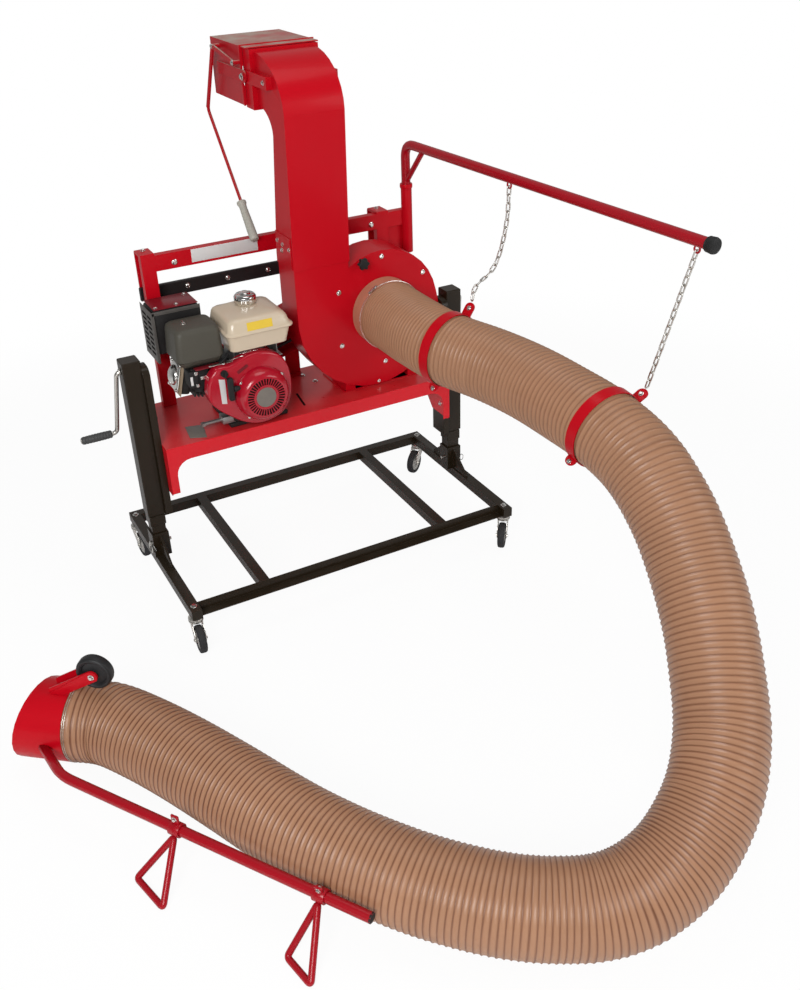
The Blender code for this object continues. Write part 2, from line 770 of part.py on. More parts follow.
def rear_frame(lift, paints):
    """Uprights, crossbar, hooks and the boom's socket, welded together."""
    red = paints["red_paint"]
    crossbar_low = CROSSBAR_TOP - CROSSBAR_HEIGHT
    left = LEFT_UPRIGHT - UPRIGHT_WIDTH / 2
    frame = node(
        "rear_frame",
        box((left, UPRIGHT_FRONT, crossbar_low), (SOCKET_X, UPRIGHT_BACK, CROSSBAR_TOP)),
        red,
        lift,
    )
    for x in (LEFT_UPRIGHT, RIGHT_UPRIGHT):
        join(
            frame,
            box(
                (x - UPRIGHT_WIDTH / 2, UPRIGHT_FRONT, DECK_TOP + GAP),
                (x + UPRIGHT_WIDTH / 2, UPRIGHT_BACK, CROSSBAR_TOP),
            ),
        )
    buffer_front = HOOK_BACK - BUFFER_THICKNESS
    for x in (LEFT_UPRIGHT, RIGHT_UPRIGHT):
        hook = [
            (UPRIGHT_FRONT, CROSSBAR_TOP - WELD),
            (UPRIGHT_BACK, CROSSBAR_TOP - WELD),
            (HOOK_BACK, CROSSBAR_TOP - WELD),
            (HOOK_BACK, CROSSBAR_TOP - HOOK_DROP),
            (HOOK_BACK + HOOK_BAR, CROSSBAR_TOP - HOOK_DROP),
            *arc((HOOK_BACK - 0.004, CROSSBAR_TOP + HOOK_BAR - 0.012), (0.012, 0.012), 0, 90, 4),
            (UPRIGHT_FRONT, CROSSBAR_TOP + HOOK_BAR),
        ]
        join(frame, slab(hook, 0, x - HOOK_WIDTH / 2, x + HOOK_WIDTH / 2))
    socket_y = UPRIGHT_FRONT
    gusset = [
        (RIGHT_UPRIGHT, crossbar_low + WELD),
        (RIGHT_UPRIGHT, SOCKET_BOTTOM - 0.120),
        (RIGHT_UPRIGHT + UPRIGHT_WIDTH / 2 + 0.004, SOCKET_BOTTOM - 0.120),
        (SOCKET_X, SOCKET_BOTTOM + 0.010),
        (SOCKET_X, crossbar_low + WELD),
    ]
    join(
        frame,
        slab(gusset, 1, UPRIGHT_FRONT + 0.010, UPRIGHT_FRONT + 0.018),
        cylinder((SOCKET_X, socket_y, SOCKET_BOTTOM), (SOCKET_X, socket_y, SOCKET_TOP), SOCKET_RADIUS, 20),
    )
    cut(
        frame,
        cylinder(
            (SOCKET_X, socket_y, SOCKET_TOP - BOOM_INSERT - 0.002),
            (SOCKET_X, socket_y, SOCKET_TOP + 0.01),
            BOOM_RADIUS + GAP,
            20,
        ),
    )
    low = CROSSBAR_TOP - HOOK_DROP + 0.005
    node(
        "buffer_strip",
        box(
            (left - 0.006, buffer_front, low),
            (RIGHT_UPRIGHT + UPRIGHT_WIDTH / 2 + 0.006, HOOK_BACK - GAP, low + BUFFER_HEIGHT),
            bevel=0.003,
        ),
        paints["rubber"],
        lift,
    )


def boom(frame, paints):
    """The bent hose boom with its brace, chain eyes and end cap."""
    y = UPRIGHT_FRONT
    foot = Vector((SOCKET_X, y, SOCKET_TOP - BOOM_INSERT))
    corner = Vector((SOCKET_X, y, BOOM_HEIGHT))
    tip = Vector((*BOOM_TIP, BOOM_HEIGHT - 0.006))
    arm = tip - corner
    route = rounded([foot, corner, tip], BOOM_BEND, steps=6)
    tube = node("boom", rod(route, BOOM_RADIUS, 3), paints["red_paint"], frame)
    brace_foot = Vector((SOCKET_X, y, SOCKET_TOP + 0.020))
    brace_head = corner + arm.normalized() * 0.125
    join(tube, rod([brace_foot, brace_head], BRACE_RADIUS, 1))
    for share in (0.42, 0.975):
        spot = corner + arm * share
        join(tube, eye_ring(spot - Vector((0, 0, BOOM_RADIUS + 0.007)), arm))
    along = arm.normalized()
    cap_start = tip + along * GAP
    node(
        "boom_cap",
        lathe(
            cap_start,
            along,
            [
                (0, 0),
                (0, BOOM_RADIUS + 0.006),
                (BOOM_CAP * 0.8, BOOM_RADIUS + 0.007),
                (BOOM_CAP, 0.012),
                (BOOM_CAP, 0),
            ],
            sides=16,
        ),
        paints["rubber"],
        frame,
    )
    return corner, arm


def eye_ring(centre, across):
    """A small welded ring that a chain hangs from, in the plane of the boom."""
    across = Vector(across).normalized()
    up = Vector((0, 0, 1))
    loop = [
        centre + 0.010 * (math.cos(a) * across + math.sin(a) * up) for a in [math.tau * i / 8 for i in range(8)]
    ]
    return swept(loop, [0.003] * len(loop), 0, closed=True)


def link(start, end, turn):
    """One chain link between two points, its plane turned about its length."""
    start = Vector(start)
    end = Vector(end)
    along = (end - start).normalized()
    reference = Vector((1, 0, 0)) if abs(along.x) < 0.9 else Vector((0, 1, 0))
    side = along.cross(reference).normalized()
    side = Matrix.Rotation(turn, 3, along) @ side
    half = (end - start).length / 2
    straight = half - CHAIN_WIDTH / 2 + CHAIN_WIRE * LINK_SEAT
    middle = (start + end) / 2
    loop = []
    for end_sign, first in ((1, -90), (-1, 90)):
        for i in range(3):
            a = math.radians(first + 90 * i)
            loop.append(
                middle
                + along * (end_sign * straight + CHAIN_WIDTH / 2 * math.cos(a))
                + side * (CHAIN_WIDTH / 2 * math.sin(a))
            )
    return swept(loop, [CHAIN_WIRE] * len(loop), 0, closed=True)


def chain(name, points, frame, paints):
    """A chain of links along a route. Neighbours lie a quarter turn apart and seat in each other's ends."""
    points = sample(points, CHAIN_PITCH)
    even = bmesh.new()
    odd = bmesh.new()
    for i, (start, end) in enumerate(zip(points, points[1:])):
        part = link(start, end, math.pi / 2 * ((i + 1) % 2))
        mesh = bpy.data.meshes.new("link")
        part.to_mesh(mesh)
        part.free()
        (odd if i % 2 else even).from_mesh(mesh)
        bpy.data.meshes.remove(mesh)
    piece = node(name, even, paints["zinc"], frame)
    join(piece, odd)


def smooth(points, steps=8):
    """A Catmull-Rom curve through hand-chosen points."""
    points = [Vector(point) for point in points]
    ends = [2 * points[0] - points[1], *points, 2 * points[-1] - points[-2]]
    route = []
    for a, b, c, d in zip(ends, ends[1:], ends[2:], ends[3:]):
        for i in range(steps):
            t = i / steps
            route.append(
                0.5 * (2 * b + (c - a) * t + (2 * a - 5 * b + 4 * c - d) * t**2 + (3 * b - a - 3 * c + d) * t**3)
            )
    route.append(points[-1])
    return route


def lengths(route):
    """The distance run at each point of a route."""
    run = [0.0]
    for before, after in zip(route, route[1:]):
        run.append(run[-1] + (after - before).length)
    return run


def at(route, run, distance):
    """The point of a route at a distance from its start, going on straight past its ends."""
    if distance <= 0:
        return route[0] + (route[1] - route[0]).normalized() * distance
    for i in range(1, len(run)):
        if run[i] >= distance:
            share = (distance - run[i - 1]) / (run[i] - run[i - 1])
            return route[i - 1].lerp(route[i], share)
    return route[-1] + (route[-1] - route[-2]).normalized() * (distance - run[-1])


def sample(route, spacing):
    """Points at equal distances along a route, near the spacing asked for."""
    run = lengths(route)
    count = max(1, round(run[-1] / spacing))
    return [at(route, run, run[-1] * i / count) for i in range(count + 1)]


def scroll_radius(clockwise):
    """The fan scroll's radius at an angle in degrees clockwise from its top, seen from the front."""
    return SCROLL_RADIUS + SCROLL_GROWTH * max(0.0, (clockwise - 80) / 190)


def scroll_outline(inset, neck_top):
    """The scroll with its neck, in X and Z, drawn inwards by inset."""
    right = CHUTE_RIGHT - CHUTE_SHEET - GAP - inset
    left = CHUTE_LEFT + CHUTE_SHEET + GAP + inset
    start = -math.degrees(math.asin((FAN_X - right) / (SCROLL_RADIUS - inset)))
    points = [(right, neck_top)]
    steps = 26
    for i in range(steps + 1):
        clockwise = start + (270 - start) * i / steps
        radius = scroll_radius(clockwise) - inset
        angle = math.radians(90 - clockwise)
        x = FAN_X + radius * math.cos(angle)
        z = FAN_Z + radius * math.sin(angle)
        points.append((max(x, left), z))
    points.append((left, neck_top))
    return points


def fan(lift, rotor, knob_frame, paints):
    """Scroll housing, front plate with its spigot, impeller, shaft, bearing, pulley and star knob."""
    red = paints["red_paint"]
    housing = node(
        "fan_housing",
        slab(scroll_outline(0, NECK_TOP), 1, FAN_FRONT + FAN_SHEET + GAP, FAN_BACK),
        red,
        lift,
    )
    foot_low = FAN_Z - scroll_radius(180) + 0.010
    for x in (FAN_X - 0.145, FAN_X + 0.120):
        join(
            housing,
            box((x - 0.020, FAN_FRONT + 0.012, DECK_TOP + 0.004), (x + 0.020, FAN_BACK - 0.004, foot_low + 0.045)),
        )
    join(
        housing,
        box(
            (FAN_X - 0.175, DECK_FRONT + 0.085, DECK_TOP + GAP),
            (FAN_X + 0.175, FAN_BACK + 0.060, DECK_TOP + 0.0045),
        ),
    )
    cut(
        housing,
        slab(scroll_outline(FAN_SHEET, NECK_TOP + 0.05), 1, FAN_FRONT - 0.02, FAN_BACK - FAN_SHEET),
        cylinder((FAN_X, FAN_BACK - 0.03, FAN_Z), (FAN_X, FAN_BACK + 0.03, FAN_Z), SHAFT_RADIUS + 0.004, 20),
    )
    plate = node(
        "fan_front_plate",
        slab(scroll_outline(0, NECK_TOP), 1, FAN_FRONT, FAN_FRONT + FAN_SHEET),
        red,
        lift,
    )
    join(
        plate,
        cylinder(
            (FAN_X, FAN_FRONT - INLET_LENGTH, FAN_Z),
            (FAN_X, FAN_FRONT + 0.001, FAN_Z),
            INLET_RADIUS,
            32,
        ),
    )
    cut(
        plate,
        cylinder(
            (FAN_X, FAN_FRONT - INLET_LENGTH - 0.01, FAN_Z),
            (FAN_X, FAN_FRONT + 0.02, FAN_Z),
            INLET_RADIUS - FAN_SHEET,
            32,
        ),
    )
    impeller(rotor, paints)
    drive_side(lift, rotor, paints)
    star_knob(knob_frame, paints)


def impeller(rotor, paints):
    """Back disc, hub and flat paddle blades."""
    disc_front = FAN_BACK - FAN_SHEET - 0.012 - IMPELLER_SHEET
    wheel = node(
        "impeller",
        cylinder(
            (FAN_X, disc_front, FAN_Z),
            (FAN_X, disc_front + IMPELLER_SHEET, FAN_Z),
            IMPELLER_RADIUS,
            24,
        ),
        paints["black_steel"],
        rotor,
    )
    blade_front = FAN_FRONT + FAN_SHEET + 0.012
    for i in range(BLADES // 2):
        blade = box(
            (-IMPELLER_RADIUS + 0.004, blade_front, -IMPELLER_SHEET / 2),
            (IMPELLER_RADIUS - 0.004, disc_front + 0.001, IMPELLER_SHEET / 2),
        )
        turn = Matrix.Translation((FAN_X, 0, FAN_Z)) @ Matrix.Rotation(math.tau * i / BLADES, 4, "Y")
        join(wheel, moved(blade, turn))
    join(
        wheel,
        cylinder((FAN_X, blade_front + 0.02, FAN_Z), (FAN_X, disc_front + 0.001, FAN_Z), 0.036, 12),
    )
    cut(
        wheel,
        cylinder(
            (FAN_X, blade_front + 0.005, FAN_Z),
            (FAN_X, disc_front + 0.02, FAN_Z),
            SHAFT_RADIUS + GAP,
            16,
        ),
    )


def pulley_profile(radius, bore):
    """A V-pulley's half section."""
    groove = radius - BELT_THICKNESS - 0.002
    edge = (PULLEY_WIDTH - BELT_WIDTH) / 2
    return [
        (0, bore),
        (0, radius),
        (edge - 0.001, radius),
        (edge + 0.001, groove),
        (PULLEY_WIDTH - edge - 0.001, groove),
        (PULLEY_WIDTH - edge + 0.001, radius),
        (PULLEY_WIDTH, radius),
        (PULLEY_WIDTH, bore),
    ]


def hull_outline(first, first_radius, second, second_radius, steps=10):
    """The taut outline round two circles in X and Z."""
    first = Vector(first)
    second = Vector(second)
    along = second - first
    base = math.degrees(math.atan2(along.y, along.x))
    spread = math.degrees(math.asin((first_radius - second_radius) / along.length))
    high = base + 90 - spread
    low = base - 90 + spread
    return [
        *arc(second, (second_radius, second_radius), low, high, steps),
        *arc(first, (first_radius, first_radius), high, low + 360, steps),
    ]


def drive_side(lift, rotor, paints):
    """Fan shaft with its bearing and pulley, the belt and the belt guard."""
    shaft_front = FAN_FRONT + FAN_SHEET + 0.045
    node(
        "fan_shaft",
        cylinder((FAN_X, shaft_front, FAN_Z), (FAN_X, SHAFT_END, FAN_Z), SHAFT_RADIUS, 16),
        paints["zinc"],
        rotor,
    )
    node(
        "fan_bearing",
        lathe(
            (FAN_X, FAN_BACK + GAP, FAN_Z),
            (0, 1, 0),
            [
                (0, SHAFT_RADIUS + GAP),
                (0, 0.062),
                (0.010, 0.062),
                (0.014, 0.040),
                (0.034, 0.036),
                (0.034, SHAFT_RADIUS + GAP),
            ],
            sides=16,
        ),
        paints["cast_alloy"],
        lift,
    )
    node(
        "fan_pulley",
        lathe(
            (FAN_X, PULLEY_FRONT, FAN_Z), (0, 1, 0), pulley_profile(FAN_PULLEY, SHAFT_RADIUS + GAP), sides=16
        ),
        paints["cast_alloy"],
        rotor,
    )
    engine_centre = (CRANK_X, CRANKSHAFT_Z)
    fan_centre = (FAN_X, FAN_Z)
    belt_front = PULLEY_FRONT + (PULLEY_WIDTH - BELT_WIDTH) / 2 + 0.0015
    belt_back = belt_front + BELT_WIDTH - 0.003
    inner = BELT_THICKNESS + 0.0008
    belt = node(
        "drive_belt",
        slab(
            hull_outline(engine_centre, ENGINE_PULLEY - 0.001, fan_centre, FAN_PULLEY - 0.001),
            1,
            belt_front,
            belt_back,
        ),
        paints["belt"],
        lift,
    )
    cut(
        belt,
        slab(
            hull_outline(engine_centre, ENGINE_PULLEY - inner, fan_centre, FAN_PULLEY - inner),
            1,
            belt_front - 0.01,
            belt_back + 0.01,
        ),
    )
    guard_back = GUARD_FRONT + GUARD_DEPTH
    guard = node(
        "belt_guard",
        slab(
            hull_outline(engine_centre, ENGINE_PULLEY + GUARD_MARGIN, fan_centre, FAN_PULLEY + GUARD_MARGIN),
            1,
            GUARD_FRONT,
            guard_back,
        ),
        paints["red_paint"],
        lift,
    )
    trim = GUARD_MARGIN - SHEET
    cut(
        guard,
        slab(
            hull_outline(engine_centre, ENGINE_PULLEY + trim, fan_centre, FAN_PULLEY + trim),
            1,
            GUARD_FRONT - 0.01,
            guard_back - SHEET,
        ),
    )
    bracket_x = (CRANK_X + FAN_X) / 2
    join(
        guard,
        box((bracket_x - 0.03, guard_back - SHEET, DECK_TOP + GAP), (bracket_x + 0.03, guard_back, 0.80)),
        box(
            (bracket_x - 0.03, guard_back - 0.03, DECK_TOP + GAP),
            (bracket_x + 0.03, guard_back, DECK_TOP + SHEET),
        ),
    )


def star_knob(frame, paints):
    """A lobed clamping knob on a short stud."""
    x = FAN_X - 0.086
    z = FAN_Z + 0.199
    start = FAN_FRONT - GAP
    knob = node(
        "star_knob",
        cylinder((x, start, z), (x, start - 0.020, z), 0.005, 10),
        paints["rubber"],
        frame,
    )
    lobes = []
    for i in range(24):
        angle = math.tau * i / 24
        radius = 0.019 + 0.003 * math.cos(6 * angle)
        lobes.append((x + radius * math.cos(angle), z + radius * math.sin(angle)))
    join(
        knob,
        slab(lobes, 1, start - 0.036, start - 0.018),
        cylinder((x, start - 0.010, z), (x, start - 0.019, z), 0.010, 12),
    )


def duct_points(inset):
    """Front and back walls of the chute as (Y, Z) pairs, drawn inwards by inset."""
    front = [(CHUTE_FRONT + inset, CHUTE_BOTTOM)]
    back = [(CHUTE_BACK - inset, CHUTE_BOTTOM), (CHUTE_BACK - inset, NECK_TOP + CHUTE_SHEET)]
    steps = 8
    centre_front = (OUTLET_Y, BEND_FRONT[1])
    radii_front = (OUTLET_Y - BEND_FRONT[0] - inset, OUTLET_TOP - BEND_FRONT[1] - inset)
    centre_back = (OUTLET_Y, BEND_BACK[1])
    radii_back = (OUTLET_Y - BEND_BACK[0] + inset, OUTLET_BOTTOM - BEND_BACK[1] + inset)
    front += arc(centre_front, radii_front, 180, 90, steps)
    back += arc(centre_back, radii_back, 180, 90, steps)
    return front, back


def duct(inset, left, right, extend=0.0):
    """The chute's solid between its walls, lofted section by section."""
    front, back = duct_points(inset)
    if extend:
        front = [(front[0][0], front[0][1] - extend), *front, (front[-1][0] + extend, front[-1][1])]
        back = [(back[0][0], back[0][1] - extend), *back, (back[-1][0] + extend, back[-1][1])]
    return slab([*front, *reversed(back)], 0, left, right)


def chute(lift, paints):
    """The bent discharge duct with its lower joint strip, outlet flange and side straps."""
    red = paints["red_paint"]
    piece = node("chute", duct(0, CHUTE_LEFT, CHUTE_RIGHT), red, lift)
    join(
        piece,
        box(
            (CHUTE_LEFT - 0.003, CHUTE_FRONT + 0.006, CHUTE_BOTTOM + 0.006),
            (CHUTE_RIGHT + 0.003, CHUTE_BACK - 0.012, CHUTE_BOTTOM + 0.116),
        ),
        box(
            (CHUTE_LEFT - OUTLET_FLANGE, OUTLET_Y - 0.003, OUTLET_BOTTOM - OUTLET_FLANGE),
            (CHUTE_RIGHT + OUTLET_FLANGE, OUTLET_Y + GAP, OUTLET_TOP + OUTLET_FLANGE / 2),
        ),
    )
    for side, edge in ((-1, CHUTE_LEFT), (1, CHUTE_RIGHT)):
        outer = edge + side * HOOD_SIDE_GAP
        ends = sorted((edge - side * 0.001, outer))
        tab = sorted((outer, outer - side * STRAP_THICKNESS))
        join(
            piece,
            box((ends[0], 0.080, PIVOT[1] - STRAP_HEIGHT / 2), (ends[1], 0.200, PIVOT[1] + STRAP_HEIGHT / 2)),
            slab(strap_outline(0.190), 0, tab[0], tab[1]),
        )
    cut(
        piece,
        duct(CHUTE_SHEET, CHUTE_LEFT + CHUTE_SHEET, CHUTE_RIGHT - CHUTE_SHEET, extend=0.02),
        cylinder((CHUTE_LEFT - 0.05, *PIVOT), (CHUTE_RIGHT + 0.05, *PIVOT), 0.005 + GAP, 12),
    )


def strap_outline(start):
    """A strap that ends in a round eye about the hood's pivot, in Y and Z."""
    half = STRAP_HEIGHT / 2
    return [
        (start, PIVOT[1] + half),
        (start, PIVOT[1] - half),
        *arc(PIVOT, (half, half), -90, 90, 8),
    ]


def hood(frame, paints):
    """The outlet hood: a folded cover that tilts on two pivots, with its lever, rod and grip."""
    red = paints["red_paint"]
    left = CHUTE_LEFT - HOOD_SIDE_GAP - HOOD_SHEET - GAP * 2
    right = CHUTE_RIGHT + HOOD_SIDE_GAP + HOOD_SHEET + GAP * 2
    cover = node("hood", box((left, HOOD_FRONT, HOOD_BOTTOM), (right, HOOD_BACK, HOOD_TOP)), red, frame)
    cut(
        cover,
        box(
            (left + HOOD_SHEET, HOOD_FRONT - 0.02, HOOD_BOTTOM - 0.02),
            (right - HOOD_SHEET, HOOD_BACK + 0.02, HOOD_TOP - HOOD_SHEET),
        ),
    )
    join(
        cover,
        box((left, HOOD_FRONT - 0.045, HOOD_TOP - 0.004), (right, HOOD_FRONT + 0.004, HOOD_TOP)),
        box((left - 0.004, HOOD_FRONT, HOOD_BOTTOM), (left + 0.001, HOOD_FRONT + 0.004, HOOD_TOP + 0.004)),
        box((right - 0.001, HOOD_FRONT, HOOD_BOTTOM), (right + 0.004, HOOD_FRONT + 0.004, HOOD_TOP + 0.004)),
        box((left - 0.004, HOOD_FRONT, HOOD_TOP - 0.001), (right + 0.004, HOOD_FRONT + 0.004, HOOD_TOP + 0.004)),
    )
    for side, edge in ((-1, left), (1, right)):
        ends = sorted((edge - side * 0.001, edge + side * STRAP_THICKNESS))
        half = STRAP_HEIGHT / 2
        outline = [
            *arc(PIVOT, (half, half), 90, 270, 8),
            (HOOD_BACK - 0.060, PIVOT[1] - half),
            (HOOD_BACK - 0.060, PIVOT[1] + half),
        ]
        join(cover, slab(outline, 0, ends[0], ends[1]))
        pivot_ends = (edge + side * 0.009, edge - side * (STRAP_THICKNESS + 0.004))
        join(cover, cylinder((pivot_ends[0], *PIVOT), (pivot_ends[1], *PIVOT), 0.005, 12))
        join(cover, cylinder((edge + side * 0.004, *PIVOT), (edge + side * 0.010, *PIVOT), 0.010, 6))
    lever(cover, left, paints)


def lever(cover, left, paints):
    """The flat lever bar, its brace, the long rod and the grip, all fixed to the hood's left side."""
    top = Vector((LEVER_X, HOOD_BACK - 0.088, HOOD_TOP - 0.020))
    knee = Vector((LEVER_X, HOOD_BACK + 0.036, HOOD_BOTTOM - 0.056))
    grip_end = Vector((LEVER_X, UPRIGHT_FRONT - 0.030, CROSSBAR_TOP))
    rod_end = grip_end + (knee - grip_end).normalized() * LEVER_GRIP
    brace_end = Vector((LEVER_X, HOOD_FRONT + 0.012, HOOD_TOP - 0.050))
    for start, end, wide in ((top, knee, 0.020), (top, brace_end, 0.014)):
        along = (end - start).normalized()
        across = Vector((0, -along.z, along.y)) * wide / 2
        outline = [start + across, start - across, end - across, end + across]
        join(cover, slab([(point.y, point.z) for point in outline], 0, LEVER_X - 0.003, LEVER_X + 0.003))
    join(
        cover,
        rod(rounded([top, knee, rod_end.lerp(grip_end, 0.9)], 0.02), LEVER_RADIUS, 1),
        cylinder((LEVER_X - 0.002, top.y, top.z), (left + 0.001, top.y, top.z), 0.007, 10),
        cylinder((LEVER_X - 0.002, brace_end.y, brace_end.z), (left + 0.001, brace_end.y, brace_end.z), 0.007, 10),
    )
    along = grip_end - rod_end
    length = along.length
    profile = [
        (0, LEVER_RADIUS + GAP),
        (0, 0.017),
        (0.012, 0.015),
        (0.018, 0.0135),
        (length - 0.012, 0.016),
        (length, 0.015),
        (length, 0),
        (length * 0.93, 0),
        (length * 0.93, LEVER_RADIUS + GAP),
    ]
    node("hood_grip", lathe(rod_end, along, profile, sides=12), paints["pale_plastic"], cover.parent)


def engine(lift, frames, paints):
    """The engine's castings, covers, tank and controls."""
    alloy = paints["cast_alloy"]
    x = CRANK_X
    foot = DECK_TOP + GAP
    block = node(
        "engine_block",
        box((x - 0.095, -0.020, foot + 0.012), (x + 0.095, ENGINE_BACK - 0.02, CRANKSHAFT_Z + 0.095), bevel=0.014),
        alloy,
        lift,
    )
    join(
        block,
        box((x - 0.110, -0.010, foot), (x + 0.110, ENGINE_BACK - 0.010, foot + 0.016), bevel=0.003),
        cylinder((x, ENGINE_BACK - 0.03, CRANKSHAFT_Z), (x, ENGINE_BACK, CRANKSHAFT_Z), 0.052, 24),
    )
    tilt = cylinder_frame()
    join(block, moved(box((-0.215, -0.042, -0.048), (-0.05, 0.042, 0.048)), tilt))
    for i in range(6):
        start = -0.125 - 0.014 * i
        fin = box((start - 0.005, -FIN_HALF, -FIN_HALF), (start, FIN_HALF, FIN_HALF))
        join(block, moved(fin, tilt))
    join(block, moved(box((-0.252, -0.048, -0.058), (-0.211, 0.048, 0.058), bevel=0.010, segments=2), tilt))
    cut(
        block,
        cylinder((x, 0.03, CRANKSHAFT_Z), (x, ENGINE_BACK + 0.02, CRANKSHAFT_Z), CRANKSHAFT_RADIUS + GAP, 16),
    )
    engine_covers(lift, frames, paints)
    engine_top(lift, frames, paints)


def cylinder_frame():
    """The frame of the inclined cylinder, -X pointing to its head."""
    turn = Matrix.Rotation(math.radians(CYLINDER_TILT), 4, "Y")
    return Matrix.Translation((CRANK_X, CYLINDER_Y, CRANKSHAFT_Z)) @ turn


def engine_covers(lift, frames, paints):
    """Blower shroud, recoil cover, starter grip, crankshaft and its pulley."""
    red = paints["red_paint"]
    x = CRANK_X
    back = -0.0203
    shroud_outline = [
        *arc((x, CRANKSHAFT_Z), (SHROUD_RADIUS, SHROUD_RADIUS), -130, 95, 15),
        (x - 0.060, CRANKSHAFT_Z + 0.128),
        (x - 0.155, CRANKSHAFT_Z + 0.120),
        (x - 0.150, CRANKSHAFT_Z + 0.010),
        (x - 0.105, CRANKSHAFT_Z - 0.050),
    ]
    shroud = node("engine_shroud", slab(shroud_outline, 1, RECOIL_FACE + 0.045, back, bevel=0.006), red, lift)
    cut(
        shroud,
        cylinder((x, RECOIL_FACE - 0.02, CRANKSHAFT_Z), (x, back - 0.012, CRANKSHAFT_Z), RECOIL_RADIUS - 0.012, 28),
    )
    post = frames["throttle_place"]
    join(shroud, cylinder((post.x, post.y, post.z - 0.014), (post.x, post.y, post.z - GAP), 0.007, 10))
    start = RECOIL_FACE + 0.045 - GAP
    profile = [
        (0, RECOIL_RADIUS - 0.010),
        (0, RECOIL_RADIUS + 0.006),
        (0.012, RECOIL_RADIUS + 0.004),
        (0.034, RECOIL_RADIUS - 0.006),
        (0.045, RECOIL_RADIUS - 0.022),
        (0.045, 0),
        (0.041, 0),
        (0.041, RECOIL_RADIUS - 0.024),
        (0.030, RECOIL_RADIUS - 0.012),
    ]
    cover = node("recoil_cover", lathe((x, start, CRANKSHAFT_Z), (0, -1, 0), profile, sides=16), red, lift)
    slots = 10
    for i in range(slots):
        angle = math.tau * (i + 0.5) / slots
        slot = box((0.038, RECOIL_FACE - 0.01, -0.0035), (0.062, RECOIL_FACE + 0.02, 0.0035))
        turn = Matrix.Translation((x, 0, CRANKSHAFT_Z)) @ Matrix.Rotation(angle, 4, "Y")
        cut(cover, moved(slot, turn))
    guide = cylinder(
        (x - RECOIL_RADIUS + 0.010, start - 0.014, CRANKSHAFT_Z + 0.045),
        (x - RECOIL_RADIUS - 0.012, start - 0.014, CRANKSHAFT_Z + 0.045),
        0.010,
        12,
    )
    join(cover, guide)
    grip_x = x - RECOIL_RADIUS - 0.0125
    node(
        "starter_grip",
        box(
            (grip_x - 0.020, start - 0.026, CRANKSHAFT_Z + 0.006),
            (grip_x - GAP, start - 0.004, CRANKSHAFT_Z + 0.090),
            bevel=0.006,
            segments=2,
        ),
        paints["rubber"],
        frames["starter"],
    )
    shaft_front = 0.035
    node(
        "crankshaft",
        cylinder(
            (x, shaft_front, CRANKSHAFT_Z),
            (x, PULLEY_FRONT + PULLEY_WIDTH + 0.006, CRANKSHAFT_Z),
            CRANKSHAFT_RADIUS,
            16,
        ),
        paints["zinc"],
        frames["crankshaft"],
    )
    node(
        "engine_pulley",
        lathe(
            (x, PULLEY_FRONT, CRANKSHAFT_Z),
            (0, 1, 0),
            pulley_profile(ENGINE_PULLEY, CRANKSHAFT_RADIUS + GAP),
            sides=16,
        ),
        paints["cast_alloy"],
        frames["crankshaft"],
    )


